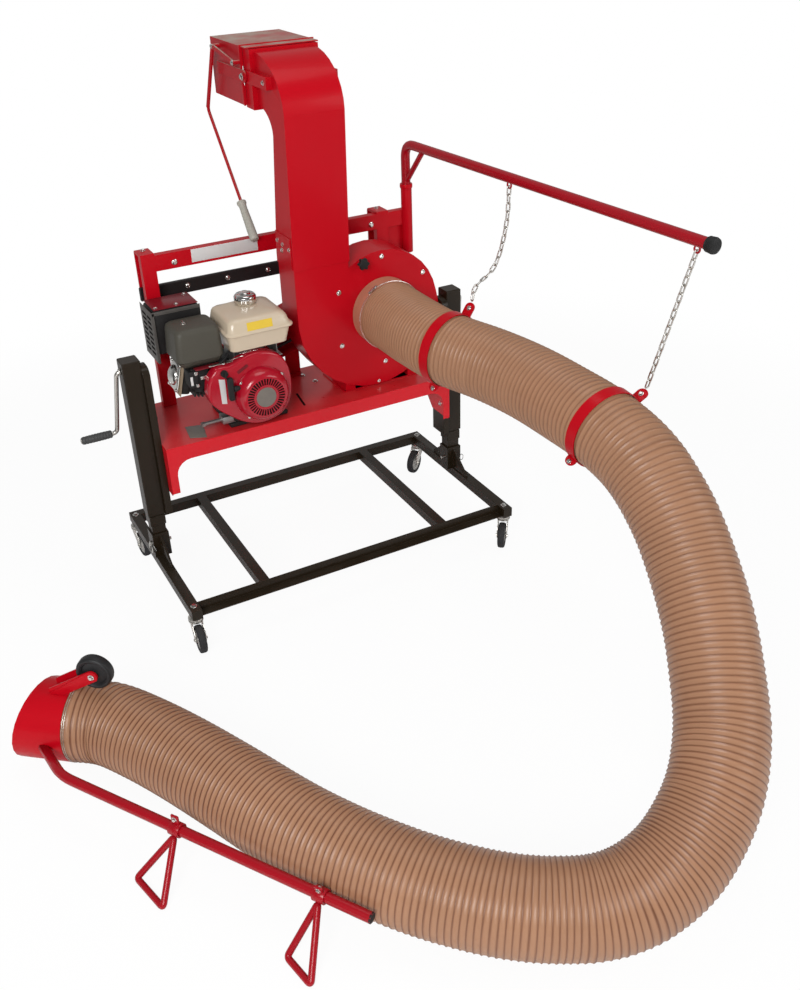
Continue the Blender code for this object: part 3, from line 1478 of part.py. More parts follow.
def engine_top(lift, frames, paints):
    """Fuel tank, cap, air cleaner, muffler, carburettor, throttle lever and engine switch."""
    x = CRANK_X
    tank_low = TANK_LOW
    lip = TANK_LIP
    neck = Vector((x + TANK_NECK[0], TANK_NECK[1]))
    tank = node(
        "fuel_tank",
        box((x - 0.085, -0.046, tank_low), (x + 0.133, 0.150, lip), bevel=0.014),
        paints["tank_paint"],
        lift,
    )
    join(
        tank,
        box((x - 0.099, -0.058, lip - 0.004), (x + ENGINE_RIGHT, 0.162, lip + 0.006), bevel=0.0035),
        tapered((x - 0.093, -0.052, lip), (x + 0.141, 0.156, lip + 0.048), 0.022),
        cylinder((neck.x, neck.y, lip + 0.03), (neck.x, neck.y, lip + 0.058), 0.028, 16),
    )
    for px in (x - 0.057, x + 0.103):
        join(tank, box((px - 0.012, 0.030, CRANKSHAFT_Z + 0.0955), (px + 0.012, 0.070, tank_low + 0.01)))
    cap_z = lip + 0.058 + GAP
    node(
        "fuel_cap",
        lathe(
            (neck.x, neck.y, cap_z),
            (0, 0, 1),
            [(0, 0), (0, 0.036), (0.006, 0.039), (0.020, 0.039), (0.026, 0.034), (0.034, 0.016), (0.036, 0)],
            sides=16,
        ),
        paints["chrome"],
        frames["cap"],
    )
    cleaner = node(
        "air_cleaner",
        tapered(
            (x + ENGINE_RIGHT - ENGINE_WIDTH, -0.006, CARB_TOP + 0.0173),
            (x - 0.0995, 0.128, CARB_TOP + 0.1243),
            0.014,
            bevel=0.012,
        ),
        paints["grey_plastic"],
        lift,
    )
    join(cleaner, box((x - 0.235, -0.008, CARB_TOP + GAP), (x - 0.140, 0.060, CARB_TOP + 0.0213), bevel=0.004))
    muffler = node(
        "muffler",
        box(
            (x - 0.285, 0.136, CARB_TOP + 0.0123),
            (x - 0.117, UPRIGHT_FRONT - 0.002, CARB_TOP + 0.1663),
            bevel=0.012,
            segments=2,
        ),
        paints["black_steel"],
        lift,
    )
    join(
        muffler,
        box(
            (x - 0.275, 0.148, CARB_TOP + 0.1603),
            (x - 0.129, UPRIGHT_FRONT - 0.012, CARB_TOP + 0.1723),
            bevel=0.004,
        ),
        cylinder((x - 0.291, 0.200, CARB_TOP + 0.0873), (x - 0.275, 0.200, CARB_TOP + 0.0873), 0.022, 14),
        moved(cylinder((-0.185, 0.046, FIN_HALF + GAP), (-0.185, 0.046, 0.105), 0.015, 12), cylinder_frame()),
    )
    body = node(
        "carburettor",
        box(
            (x - 0.227, -0.012, CARB_TOP - 0.0717),
            (x - 0.161, CYLINDER_Y - FIN_HALF - GAP, CARB_TOP),
            bevel=0.006,
        ),
        paints["rubber"],
        lift,
    )
    join(body, cylinder((x - 0.194, 0.018, CARB_TOP - 0.0917), (x - 0.194, 0.018, CARB_TOP - 0.0657), 0.020, 14))
    pivot = frames["throttle_place"]
    arm = node(
        "throttle_lever",
        cylinder((pivot.x, pivot.y, pivot.z), (pivot.x, pivot.y, pivot.z + 0.004), 0.009, 14),
        paints["zinc"],
        frames["throttle"],
    )
    join(arm, box((pivot.x - 0.052, pivot.y - 0.005, pivot.z), (pivot.x, pivot.y + 0.005, pivot.z + 0.003)))
    spot = frames["switch_place"]
    knob = node(
        "engine_switch",
        cylinder((spot.x, spot.y, spot.z), (spot.x, spot.y - 0.012, spot.z), 0.013, 16),
        paints["rubber"],
        frames["switch"],
    )
    join(knob, box((spot.x - 0.003, spot.y - 0.020, spot.z - 0.012), (spot.x + 0.003, spot.y - 0.010, spot.z + 0.012)))


def tapered(low, high, taper, bevel=0.010):
    """A block whose top is drawn in on all four sides, with rounded edges."""
    low = Vector(low)
    high = Vector(high)
    shape = bmesh.new()
    bmesh.ops.create_cube(shape, size=1.0)
    bmesh.ops.scale(shape, vec=high - low, verts=shape.verts)
    bmesh.ops.translate(shape, vec=(low + high) / 2, verts=shape.verts)
    middle = (low + high) / 2
    for vert in shape.verts:
        if vert.co.z > middle.z:
            vert.co.x -= math.copysign(taper, vert.co.x - middle.x)
            vert.co.y -= math.copysign(taper, vert.co.y - middle.y)
    bmesh.ops.bevel(shape, geom=shape.edges, offset=bevel, segments=2, profile=0.5, affect="EDGES")
    return shape


# The hose's route, read off where it lies, from the fan's spigot to the nozzle
FLOOR_HEIGHT = HOSE_RADIUS + 0.0006
HOSE_ROUTE = [
    (FAN_X, FAN_FRONT - INLET_LENGTH - 0.0015, FAN_Z),
    (FAN_X, FAN_FRONT - 0.140, FAN_Z),
    (0.340, -0.225, 0.904),
    (0.368, -0.376, 0.893),
    (0.430, -0.545, 0.884),
    (0.470, -0.708, 0.876),
    (0.487, -0.880, 0.869),
    (0.498, -1.056, 0.858),
    (0.507, -1.225, 0.816),
    (0.498, -1.378, 0.733),
    (0.472, -1.507, 0.640),
    (0.428, -1.635, 0.545),
    (0.374, -1.745, 0.452),
    (0.316, -1.838, 0.372),
    (0.239, -1.915, 0.302),
    (0.155, -1.964, 0.242),
    (0.048, -1.998, 0.188),
    (-0.064, -2.000, 0.150),
    (-0.160, -1.974, 0.130),
    (-0.250, -1.928, FLOOR_HEIGHT),
    (-0.333, -1.872, FLOOR_HEIGHT),
    (-0.415, -1.798, FLOOR_HEIGHT),
    (-0.510, -1.690, FLOOR_HEIGHT),
    (-0.600, -1.562, FLOOR_HEIGHT),
    (-0.672, -1.440, FLOOR_HEIGHT),
    (-0.729, -1.325, FLOOR_HEIGHT),
    (-0.806, -1.146, FLOOR_HEIGHT),
    (-0.886, -0.972, FLOOR_HEIGHT),
    (-0.960, -0.832, FLOOR_HEIGHT),
    (-1.030, -0.724, FLOOR_HEIGHT),
    (-1.108, -0.658, FLOOR_HEIGHT),
]
HOSE_SPLIT = 11
RING_KNOTS = (3, 7)


def heading(route, run, distance):
    """The direction of a route at a distance from its start."""
    return (at(route, run, distance + 0.004) - at(route, run, distance - 0.004)).normalized()


def hose_run(name, route, run, start, end, frame, paints):
    """One run of ribbed hose: two rings of unlike radius to a rib, with a plainer bore cut out."""
    pitch = run[-1] / HOSE_RIBS
    count = round((end - start) / pitch) * 2
    distances = [start + (end - start) * i / count for i in range(count + 1)]
    points = [at(route, run, distance) for distance in distances]
    points[1] = points[0] + heading(route, run, start) * (end - start) / count
    points[-2] = points[-1] - heading(route, run, end) * (end - start) / count
    radii = [HOSE_RADIUS if i % 2 else HOSE_GROOVE for i in range(count + 1)]
    radii[0] = HOSE_RADIUS
    radii[-1] = HOSE_RADIUS
    piece = node(name, swept(points, radii, 2), paints["hose"], frame)
    spacing = 0.085
    steps = round((end - start + 0.02) / spacing)
    inside = [at(route, run, start - 0.01 + (end - start + 0.02) * i / steps) for i in range(steps + 1)]
    cut(piece, rod(inside, HOSE_BORE, 1))


def hose(root, lift, paints):
    """The suction hose in two runs, with the rings that the chains hold."""
    steps = 8
    route = smooth(HOSE_ROUTE, steps)
    run = lengths(route)
    split = run[HOSE_SPLIT * steps]
    hose_run("hose_upper", route, run, 0.0, split - GAP, lift, paints)
    hose_run("hose_lower", route, run, split + GAP, run[-1], root, paints)
    print(f"hose length {run[-1]:.3f} m in {HOSE_RIBS} ribs")
    lugs = []
    for name, knot, lug_angle in (("hose_ring_inner", RING_KNOTS[0], 52), ("hose_ring_outer", RING_KNOTS[1], 30)):
        centre = route[knot * steps]
        along = (route[knot * steps + 1] - route[knot * steps - 1]).normalized()
        lugs.append(hose_ring(name, centre, along, lug_angle, lift, paints))
    return route, lugs


def ring_axes(along):
    """Level and upward directions square to the hose."""
    level = Vector((0, 0, 1)).cross(along).normalized()
    if level.x < 0:
        level = -level
    upward = level.cross(along).normalized()
    if upward.z < 0:
        upward = -upward
    return level, upward


def hose_ring(name, centre, along, lug_angle, frame, paints):
    """A two-part band round the hose, with the bolted lug that its chain hooks into."""
    inner = HOSE_RADIUS + RING_CLEARANCE
    outer = inner + RING_WALL
    profile = [(0, inner), (0, outer), (RING_WIDTH, outer), (RING_WIDTH, inner)]
    band = node(
        name,
        lathe(centre - along * RING_WIDTH / 2, along, profile, sides=24),
        paints["red_paint"],
        frame,
    )
    level, upward = ring_axes(along)
    for angle, reach in ((lug_angle, 0.046), (lug_angle - 172, 0.024)):
        out = math.cos(math.radians(angle)) * level + math.sin(math.radians(angle)) * upward
        tangent = along.cross(out).normalized()
        basis = Matrix((out, tangent, along)).transposed().to_4x4()
        place = Matrix.Translation(centre) @ basis
        join(
            band,
            moved(
                box(
                    (inner + 0.001, -0.003, -RING_WIDTH / 2),
                    (outer + reach, 0.003, RING_WIDTH / 2),
                    bevel=0.001,
                ),
                place,
            ),
        )
        if reach > 0.03:
            lug = centre + out * (outer + reach)
    return lug


def nozzle_place():
    """The frame at the hose's end, +X pointing out of the mouth."""
    before, end = smooth(HOSE_ROUTE)[-2:]
    angle = math.atan2(end.y - before.y, end.x - before.x)
    return Matrix.Translation(end) @ Matrix.Rotation(angle, 4, "Z")


def nozzle(root, wheel_frame, paints):
    """The oblique suction mouth, its wheel fork and its wheel."""
    red = paints["red_paint"]
    place = nozzle_place()
    far = NOZZLE_BOTTOM_LENGTH
    pipe = node(
        "nozzle",
        moved(cylinder((GAP, 0, 0), (far, 0, 0), NOZZLE_RADIUS, 24), place),
        red,
        root,
    )
    slope = [
        (NOZZLE_TOP_LENGTH, NOZZLE_RADIUS + 0.001),
        (far + 0.001, -NOZZLE_RADIUS - 0.001),
        (far + 0.05, -NOZZLE_RADIUS - 0.001),
        (far + 0.05, NOZZLE_RADIUS + 0.001),
    ]
    wide = NOZZLE_RADIUS + 0.01
    for side in (-1, 1):
        y = side * 0.024
        join(pipe, moved(slab(fork_plate_outline(), 1, y - 0.0025, y + 0.0025), place))
    join(
        pipe,
        moved(cylinder((WHEEL_ARM[0], -0.028, WHEEL_ARM[1]), (WHEEL_ARM[0], 0.028, WHEEL_ARM[1]), 0.005, 12), place),
    )
    cut(
        pipe,
        moved(cylinder((-0.02, 0, 0), (far + 0.05, 0, 0), NOZZLE_RADIUS - NOZZLE_WALL, 32), place),
        moved(slab(slope, 1, -wide, wide), place),
    )
    profile = [
        (0, 0.005 + GAP),
        (0, 0.030),
        (0.006, 0.046),
        (0.010, 0.055),
        (0.028, 0.055),
        (0.032, 0.046),
        (0.038, 0.030),
        (0.038, 0.005 + GAP),
    ]
    wheel = lathe((WHEEL_ARM[0], -0.019, WHEEL_ARM[1]), (0, 1, 0), profile, sides=14)
    node("nozzle_wheel", moved(wheel, place), paints["tyre"], wheel_frame)


# Where the nozzle's wheel axle sits, back over the hose and above it
WHEEL_ARM = (-0.088, 0.203)


def fork_plate_outline():
    """One flat plate of the wheel fork, from the nozzle's top back to the axle."""
    base = NOZZLE_RADIUS - 0.006
    return [
        (0.060, base),
        (0.020, base),
        (0.016, base + 0.012),
        (WHEEL_ARM[0] - 0.014, WHEEL_ARM[1] - 0.014),
        *arc(WHEEL_ARM, (0.019, 0.019), 225, 55, 6),
        (0.060, base + 0.020),
    ]


# The handle bar and the two carrying handles on it
BAR_HEIGHT = 0.140
BAR_ROUTE = [
    (-1.232, -0.694, 0.118),
    (-1.213, -0.876, BAR_HEIGHT),
    (-0.664, -1.733, BAR_HEIGHT),
]
HANDLE_SPOTS = {
    "near": (0.416, (-1.115, -1.215), (-1.083, -1.342)),
    "far": (0.870, (-0.859, -1.636), (-0.839, -1.735)),
}


def bar_spot(reach):
    """The point of the bar's long straight run at a distance from its bend, and that run's direction."""
    bend = Vector(BAR_ROUTE[1])
    along = (Vector(BAR_ROUTE[2]) - bend).normalized()
    return bend + along * reach, along


def handle_bar(root, frames, paints):
    """The bar welded to the nozzle's side, with two triangular handles clamped on it."""
    red = paints["red_paint"]
    bar = node("handle_bar", rod(rounded(BAR_ROUTE, 0.04), HANDLE_BAR_RADIUS, 2), red, root)
    pipe = cylinder((-0.01, 0, 0), (NOZZLE_BOTTOM_LENGTH + 0.05, 0, 0), NOZZLE_RADIUS + GAP * 2, 32)
    cut(bar, moved(pipe, nozzle_place()))
    for word, (reach, first, second) in HANDLE_SPOTS.items():
        centre, along = bar_spot(reach)
        low = HANDLE_ROD + 0.0006
        inner = HANDLE_BAR_RADIUS + GAP
        profile = [(0, inner), (0, inner + 0.005), (0.034, inner + 0.005), (0.034, inner)]
        clamp = node(
            f"handle_{word}",
            lathe(centre - along * 0.017, along, profile, sides=16),
            red,
            frames[word],
        )
        corners = [Vector((*first, low)), Vector((*second, low))]
        out = (corners[0] + corners[1]) / 2 - centre
        out = (out - along * out.dot(along)).normalized()
        loop = rounded_ring([centre + out * HANDLE_SEAT, *corners], HANDLE_BEND, steps=2)
        join(clamp, swept(loop, [HANDLE_ROD] * len(loop), 1, closed=True))
        lug = box((-0.003, -0.012, inner + 0.001), (0.003, 0.012, inner + 0.034), bevel=0.001)
        across = Matrix.Rotation(math.atan2(along.y, along.x) + math.pi / 2, 4, "Z")
        join(clamp, moved(lug, Matrix.Translation(centre) @ across))


def chains(frame, corner, arm, lugs, paints):
    """The slack chain near the fan and the taut one at the boom's tip."""
    tops = [corner + arm * share - Vector((0, 0, BOOM_RADIUS + 0.0112)) for share in (0.42, 0.975)]
    above_lug = Vector((0, 0, CHAIN_WIRE * 2 + 0.004))
    slack = [
        tops[0],
        tops[0] + Vector((-0.006, 0.004, -0.13)),
        tops[0] + Vector((-0.030, 0.030, -0.27)),
        lugs[0] + Vector((0.020, 0.010, 0.050)),
        lugs[0] + above_lug,
    ]
    chain("chain_inner", smooth(slack, 12), frame, paints)
    taut = [tops[1], lugs[1] + above_lug]
    chain("chain_outer", taut, frame, paints)


def node_bounds(names_left_out):
    """The box round every visible piece except those named."""
    bpy.context.view_layer.update()
    graph = bpy.context.evaluated_depsgraph_get()
    low = Vector((1e9, 1e9, 1e9))
    high = -low
    for thing in bpy.context.scene.objects:
        if thing.type != "MESH" or thing.hide_render or thing.name in names_left_out:
            continue
        seen = thing.evaluated_get(graph)
        for corner in seen.bound_box:
            place = seen.matrix_world @ Vector(corner)
            for i in range(3):
                low[i] = min(low[i], place[i])
                high[i] = max(high[i], place[i])
    return low, high


HOSE_PIECES = {
    "hose_upper",
    "hose_lower",
    "hose_ring_inner",
    "hose_ring_outer",
    "nozzle",
    "nozzle_wheel",
    "handle_bar",
    "handle_near",
    "handle_far",
}


def castor_frames(root):
    """Swivel and wheel frames at the four corners."""
    places = {}
    forks = {}
    wheels = {}
    for corner, heading in CASTOR_HEADINGS.items():
        x = SIDE_RAIL_X if "right" in corner else -SIDE_RAIL_X
        y = BASE_DEPTH / 2 - CASTOR_INSET
        y = y if "back" in corner else -y
        places[corner] = Vector((x, y, 0))
        forks[corner] = empty(f"swivel_{corner}", (x, y, RAIL_TOP - RAIL), root)
        angle = math.radians(heading)
        axle = Vector((x + CASTOR_TRAIL * math.cos(angle), y + CASTOR_TRAIL * math.sin(angle), WHEEL_RADIUS))
        wheels[corner] = empty(f"axle_{corner}", axle, forks[corner])
    return {"corner": places, "fork": forks, "wheel": wheels}


def build():
    """Build every sub-assembly and set the origin."""
    clear_scene()
    paints = make_paints()
    root = empty("machine", (0, 0, 0))
    lift = empty("lift", (0, LEG_Y, DECK_TOP), root)
    trolley(root, paints)
    sides = ((-1, "left"), (1, "right"))
    legs(
        root,
        {word: empty(f"pin_{word}", (side * LEG_X, LEG_Y, RAIL_TOP + PIN_HEIGHT), root) for side, word in sides},
        paints,
    )
    castors(castor_frames(root), paints)
    outer_legs(lift, paints)
    lean = math.radians(CRANK_LEAN)
    shafts = {word: empty(f"crank_axis_{word}", (side * LEG_X, LEG_Y, CRANK_Z), lift) for side, word in sides}
    grips = {
        word: empty(
            f"grip_axis_{word}",
            (side * LEG_X, LEG_Y + CRANK_ARM * math.sin(lean), CRANK_Z - CRANK_ARM * math.cos(lean)),
            shafts[word],
        )
        for side, word in sides
    }
    cranks(shafts, grips, paints)
    deck(lift, paints)
    rear_frame(lift, paints)
    boom_frame = empty("boom_swivel", (SOCKET_X, UPRIGHT_FRONT, SOCKET_TOP), lift)
    corner, arm = boom(boom_frame, paints)
    rotor = empty("fan_axis", (FAN_X, FAN_BACK, FAN_Z), lift)
    knob = empty("knob_axis", (FAN_X - 0.086, FAN_FRONT, FAN_Z + 0.199), lift)
    fan(lift, rotor, knob, paints)
    chute(lift, paints)
    hood(empty("hood_pivot", (0, *PIVOT), lift), paints)
    throttle = Vector((CRANK_X - 0.118, -0.034, CRANKSHAFT_Z + 0.128))
    switch = Vector((CRANK_X - 0.128, RECOIL_FACE + 0.045 - GAP, CRANKSHAFT_Z + 0.104))
    engine(
        lift,
        {
            "crankshaft": empty("crankshaft_axis", (CRANK_X, ENGINE_BACK, CRANKSHAFT_Z), lift),
            "starter": empty("starter_pull", (CRANK_X - 0.12, RECOIL_FACE, CRANKSHAFT_Z + 0.05), lift),
            "cap": empty("cap_axis", (CRANK_X + TANK_NECK[0], TANK_NECK[1], TANK_LIP + 0.058), lift),
            "throttle": empty("throttle_axis", throttle, lift),
            "throttle_place": throttle,
            "switch": empty("switch_axis", switch, lift),
            "switch_place": switch,
        },
        paints,
    )
    _, lugs = hose(root, lift, paints)
    chains(boom_frame, corner, arm, lugs, paints)
    place = nozzle_place()
    nozzle(root, empty("nozzle_axle", place @ Vector((WHEEL_ARM[0], 0, WHEEL_ARM[1])), root), paints)
    handles = {word: empty(f"handle_axis_{word}", bar_spot(spot[0])[0], root) for word, spot in HANDLE_SPOTS.items()}
    handle_bar(root, handles, paints)
    low, high = node_bounds(HOSE_PIECES)
    root.location = (-(low.x + high.x) / 2, -(low.y + high.y) / 2, -low.z)
    bpy.context.view_layer.update()
    print("origin shift", [round(value, 5) for value in root.location])


build()
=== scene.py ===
"""A trolley-mounted leaf loader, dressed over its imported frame."""

import json
import logging
import math
from dataclasses import dataclass
from enum import Enum
from typing import Iterable, Optional, Sequence

import bmesh
import bpy
from mathutils import Matrix, Vector

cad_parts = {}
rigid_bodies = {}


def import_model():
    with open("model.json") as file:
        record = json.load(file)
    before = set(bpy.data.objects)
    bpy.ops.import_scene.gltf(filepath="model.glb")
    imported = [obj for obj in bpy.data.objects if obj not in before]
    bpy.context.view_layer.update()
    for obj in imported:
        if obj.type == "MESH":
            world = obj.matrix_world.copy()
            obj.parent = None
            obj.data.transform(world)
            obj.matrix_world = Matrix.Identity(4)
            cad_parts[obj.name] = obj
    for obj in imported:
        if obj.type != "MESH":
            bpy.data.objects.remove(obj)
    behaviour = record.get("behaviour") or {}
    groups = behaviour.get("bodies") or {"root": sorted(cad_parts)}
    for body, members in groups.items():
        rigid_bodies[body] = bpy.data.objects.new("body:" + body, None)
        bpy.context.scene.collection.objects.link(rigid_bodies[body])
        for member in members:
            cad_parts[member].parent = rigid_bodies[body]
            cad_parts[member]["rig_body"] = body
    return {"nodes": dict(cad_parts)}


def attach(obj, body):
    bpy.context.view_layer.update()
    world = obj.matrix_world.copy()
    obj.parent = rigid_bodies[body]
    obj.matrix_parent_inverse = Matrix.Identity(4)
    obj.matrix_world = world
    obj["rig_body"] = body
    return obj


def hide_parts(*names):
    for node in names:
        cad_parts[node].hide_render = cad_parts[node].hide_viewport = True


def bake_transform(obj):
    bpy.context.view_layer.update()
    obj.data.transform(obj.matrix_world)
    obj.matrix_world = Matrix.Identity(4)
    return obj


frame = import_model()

LOG = logging.getLogger("leaf_loader")

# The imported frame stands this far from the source's own drawing frame
SHIFT = Vector((0.0, 0.3132, 0.0))

# The two bodies that most pieces ride on
MACHINE = "upper_machine"
TROLLEY = "trolley"

# Directions out of a face
LEFT, RIGHT, FORWARD, BACKWARD, UP, DOWN = (-1, 0, 0), (1, 0, 0), (0, -1, 0), (0, 1, 0), (0, 0, 1), (0, 0, -1)

# Corners less than this far apart are one corner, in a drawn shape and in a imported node
DOUBLE, NODE_DOUBLE = 1e-6, 2e-5

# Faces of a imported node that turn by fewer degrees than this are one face
FLAT = 0.6

Point = Sequence[float]
Pair = tuple[float, float]
Triple = tuple[float, float, float]
Shape = bmesh.types.BMesh
Socket = bpy.types.NodeSocket


# --- Node groups -------------------------------------------------------------


MID_GREY = (0.5, 0.5, 0.5, 1.0)
COLOUR_AND_ROUGHNESS = {"Colour": "Color", "Roughness": "Float"}


class Nodes:
    """A node tree, built by calls."""

    def __init__(self, tree: bpy.types.NodeTree) -> None:
        """Take the tree."""
        self.tree = tree

    def feed(self, value: object, socket: Socket) -> None:
        """Wire a socket into another, or set a plain value."""
        if isinstance(value, Socket):
            self.tree.links.new(value, socket)
        else:
            socket.default_value = value

    def node(self, kind: str, *values: object, **settings: object) -> bpy.types.Node:
        """Add a shader node with attributes set and its first inputs fed."""
        made = self.tree.nodes.new(f"ShaderNode{kind}")
        for key, value in settings.items():
            setattr(made, key, value)
        for value, socket in zip(values, made.inputs):
            self.feed(value, socket)
        return made

    def math(self, operation: str, *values: object, clamp: bool = False) -> Socket:
        """The result of a math node, held between 0 and 1 where clamp says so."""
        return self.node("Math", *values, operation=operation, use_clamp=clamp).outputs[0]

    def noise(self, scale: Socket, detail: float, rough: float = 0.55) -> Socket:
        """The value of a noise texture on Object coordinates.

        Args:
            scale: the socket that gives the pattern's scale.
            detail: octaves of detail.
            rough: the octaves' share.

        Returns:
            The noise's value.
        """
        made = self.node("TexNoise", self.node("TexCoord").outputs["Object"])
        for key, value in (("Scale", scale), ("Detail", detail), ("Roughness", rough)):
            self.feed(value, made.inputs[key])
        return made.outputs["Fac"]

    def blend(self, factor: Socket, first: object, second: object) -> Socket:
        """Mix two colours by a factor, and give the result's socket."""
        made = self.node("Mix", factor, data_type="RGBA", clamp_factor=True)
        self.feed(first, made.inputs[6])
        self.feed(second, made.inputs[7])
        return made.outputs[2]


class NodeGroup(Nodes):
    """A shader node group with named sockets, built once and placed in many finishes."""

    def __init__(self, name: str, takes: dict[str, object], gives: dict[str, str]) -> None:
        """Make a group with its sockets.

        Args:
            name: the group's name.
            takes: each input's default; four numbers make a colour.
            gives: each output's kind.
        """
        super().__init__(bpy.data.node_groups.new(name, "ShaderNodeTree"))
        for key, value in takes.items():
            kind = "Color" if isinstance(value, tuple) else "Float"
            made = self.tree.interface.new_socket(name=key, in_out="INPUT", socket_type=f"NodeSocket{kind}")
            made.default_value = value
        for key, kind in gives.items():
            self.tree.interface.new_socket(name=key, in_out="OUTPUT", socket_type=f"NodeSocket{kind}")
        self.taken = self.tree.nodes.new("NodeGroupInput").outputs
        self.given = self.tree.nodes.new("NodeGroupOutput").inputs

    def giving(self, *values: Socket) -> "NodeGroup":
        """Wire the group's outputs, and give the group."""
        for value, socket in zip(values, self.given):
            self.feed(value, socket)
        return self


def mottle_group() -> NodeGroup:
    """Soft patches lighter and darker than the colour, as on any painted or moulded face."""
    takes = {"Colour": MID_GREY, "Scale": 6.0, "Spread": 0.1, "Roughness": 0.4}
    group = NodeGroup("mottle", takes, COLOUR_AND_ROUGHNESS)
    taken = group.taken
    swing = group.math("MULTIPLY", group.math("SUBTRACT", group.noise(taken["Scale"], 4.0), 0.5), taken["Spread"])
    shade = group.node("VectorMath", taken["Colour"], operation="SCALE")
    group.feed(group.math("ADD", 1.0, group.math("MULTIPLY", swing, 2.0)), shade.inputs["Scale"])
    rough = group.math("ADD", taken["Roughness"], group.math("MULTIPLY", swing, 0.8), clamp=True)
    return group.giving(shade.outputs[0], rough)


def dust_and_sheen_group() -> NodeGroup:
    """A film on faces that look up, thicker in some patches: dust, and on the red hood and deck tops a painted sheen.
    """
    takes = {"Colour": MID_GREY, "Roughness": 0.4, "Dust_and_sheen": (0.42, 0.37, 0.31, 1.0), "Amount": 0.1, "Scale": 9.0}
    group = NodeGroup("dust_and_sheen_film", takes, COLOUR_AND_ROUGHNESS)
    taken = group.taken
    parts = group.node("SeparateXYZ", group.node("NewGeometry").outputs["Normal"])
    upward = group.math("POWER", group.math("MAXIMUM", parts.outputs["Z"], 0.0), 4.0)
    patch = group.math("SUBTRACT", group.math("MULTIPLY", group.noise(taken["Scale"], 5.0), 2.2), 0.5, clamp=True)
    film = group.math("MULTIPLY", group.math("MULTIPLY", upward, patch), taken["Amount"], clamp=True)
    rough = group.math("ADD", taken["Roughness"], group.math("MULTIPLY", film, 0.6), clamp=True)
    return group.giving(group.blend(film, taken["Colour"], taken["Dust_and_sheen"]), rough)


def wear_group() -> NodeGroup:
    """Scuffs and rubs: small patches where another colour shows through."""
    takes = {"Colour": MID_GREY, "Worn": (0.3, 0.3, 0.3, 1.0), "Amount": 0.1, "Scale": 30.0}
    group = NodeGroup("rubbed_patches", takes, {"Colour": "Color", "Mask": "Float"})
    taken = group.taken
    edge = group.math("SUBTRACT", 0.78, group.math("MULTIPLY", taken["Amount"], 0.3))
    reach = group.math("SUBTRACT", group.noise(taken["Scale"], 8.0, 0.7), edge)
    mask = group.math("MULTIPLY", reach, 9.0, clamp=True)
    return group.giving(group.blend(mask, taken["Colour"], taken["Worn"]), mask)


def skin_group() -> NodeGroup:
    """The fine relief of a surface: the orange peel of paint, the grain of a moulding or a casting."""
    group = NodeGroup("skin_relief", {"Scale": 400.0, "Strength": 0.1}, {"Normal": "Vector"})
    relief = group.node("Bump")
    height = group.noise(group.taken["Scale"], 3.0)
    for key, value in (("Distance", 0.001), ("Height", height), ("Strength", group.taken["Strength"])):
        group.feed(value, relief.inputs[key])
    return group.giving(relief.outputs["Normal"])


GROUPS = {"mottle": mottle_group(), "dust_and_sheen": dust_and_sheen_group(), "wear": wear_group(), "skin": skin_group()}


# --- Finishes ----------------------------------------------------------------


@dataclass(frozen=True)
class Finish:
    """One finish of the machine, with the record's slot that it belongs to.

    Attributes:
        name: the material's name.
        slot: the record's material slot.
        colour: linear base colour.
        roughness: mean roughness.
        metallic: 0 or 1.
        specular: level of the plain reflection.
        coat: clear coat weight, with coat_roughness.
        mottle: spread of the patches, with their scale.
        skin: strength of the fine relief, with its scale.
        dust_and_sheen: amount of that upward film: dust on most finishes, a painted sheen on the red hood and deck.
        wear: amount of rubbed patches, whose colour is worn.
    """

    name: str
    slot: str
    colour: Triple
    roughness: float
    metallic: float = 0.0
    specular: float = 0.4
    coat: float = 0.0
    coat_roughness: float = 0.08
    mottle: Pair = (0.06, 5.0)
    skin: Pair = (0.04, 500.0)
    dust_and_sheen: float = 0.0
    wear: float = 0.0
    worn: Triple = (0.3, 0.29, 0.28)
    wear_scale: float = 26.0

    def place(self, tree: bpy.types.NodeTree, key: str, **values: object) -> bpy.types.Node:
        """Put one of the shared groups in a material and set its inputs."""
        made = tree.nodes.new("ShaderNodeGroup")
        made.node_tree = GROUPS[key].tree
        for name, value in values.items():
            made.inputs[name.capitalize()].default_value = value
        return made

    def base_colour(self, tree: bpy.types.NodeTree) -> Optional[Socket]:
        """The colour that the patches vary, where it isn't plain."""
        return None

    def material(self) -> bpy.types.Material:
        """The finish's material, made the first time it is asked for."""
        made = bpy.data.materials.get(self.name)
        if made:
            return made
        made = bpy.data.materials.new(self.name)
        made.use_nodes = True
        made.diffuse_color = (*self.colour, 1.0)
        tree = made.node_tree
        into = tree.nodes["Principled BSDF"].inputs
        into["Metallic"].default_value = self.metallic
        into["Specular IOR Level"].default_value = 0.5 if self.metallic else self.specular
        into["Coat Weight"].default_value = self.coat
        into["Coat Roughness"].default_value = self.coat_roughness
        patches = self.place(tree, "mottle", colour=(*self.colour, 1.0), roughness=self.roughness)
        patches.inputs["Spread"].default_value, patches.inputs["Scale"].default_value = self.mottle
        plain = self.base_colour(tree)
        if plain:
            tree.links.new(plain, patches.inputs["Colour"])
        colour, rough = patches.outputs["Colour"], patches.outputs["Roughness"]
        if self.wear:
            rubbed = self.place(tree, "wear", worn=(*self.worn, 1.0), amount=self.wear, scale=self.wear_scale)
            tree.links.new(colour, rubbed.inputs["Colour"])
            colour = rubbed.outputs["Colour"]
        # The upward film: dust on most finishes, a painted sheen on the red hood and deck tops.
        if self.dust_and_sheen:
            film = self.place(tree, "dust_and_sheen", amount=self.dust_and_sheen)
            tree.links.new(colour, film.inputs["Colour"])
            tree.links.new(rough, film.inputs["Roughness"])
            colour, rough = film.outputs["Colour"], film.outputs["Roughness"]
        tree.links.new(colour, into["Base Color"])
        tree.links.new(rough, into["Roughness"])
        strength, scale = self.skin
        if strength:
            relief = self.place(tree, "skin", scale=scale, strength=strength)
            tree.links.new(relief.outputs["Normal"], into["Normal"])
        return made


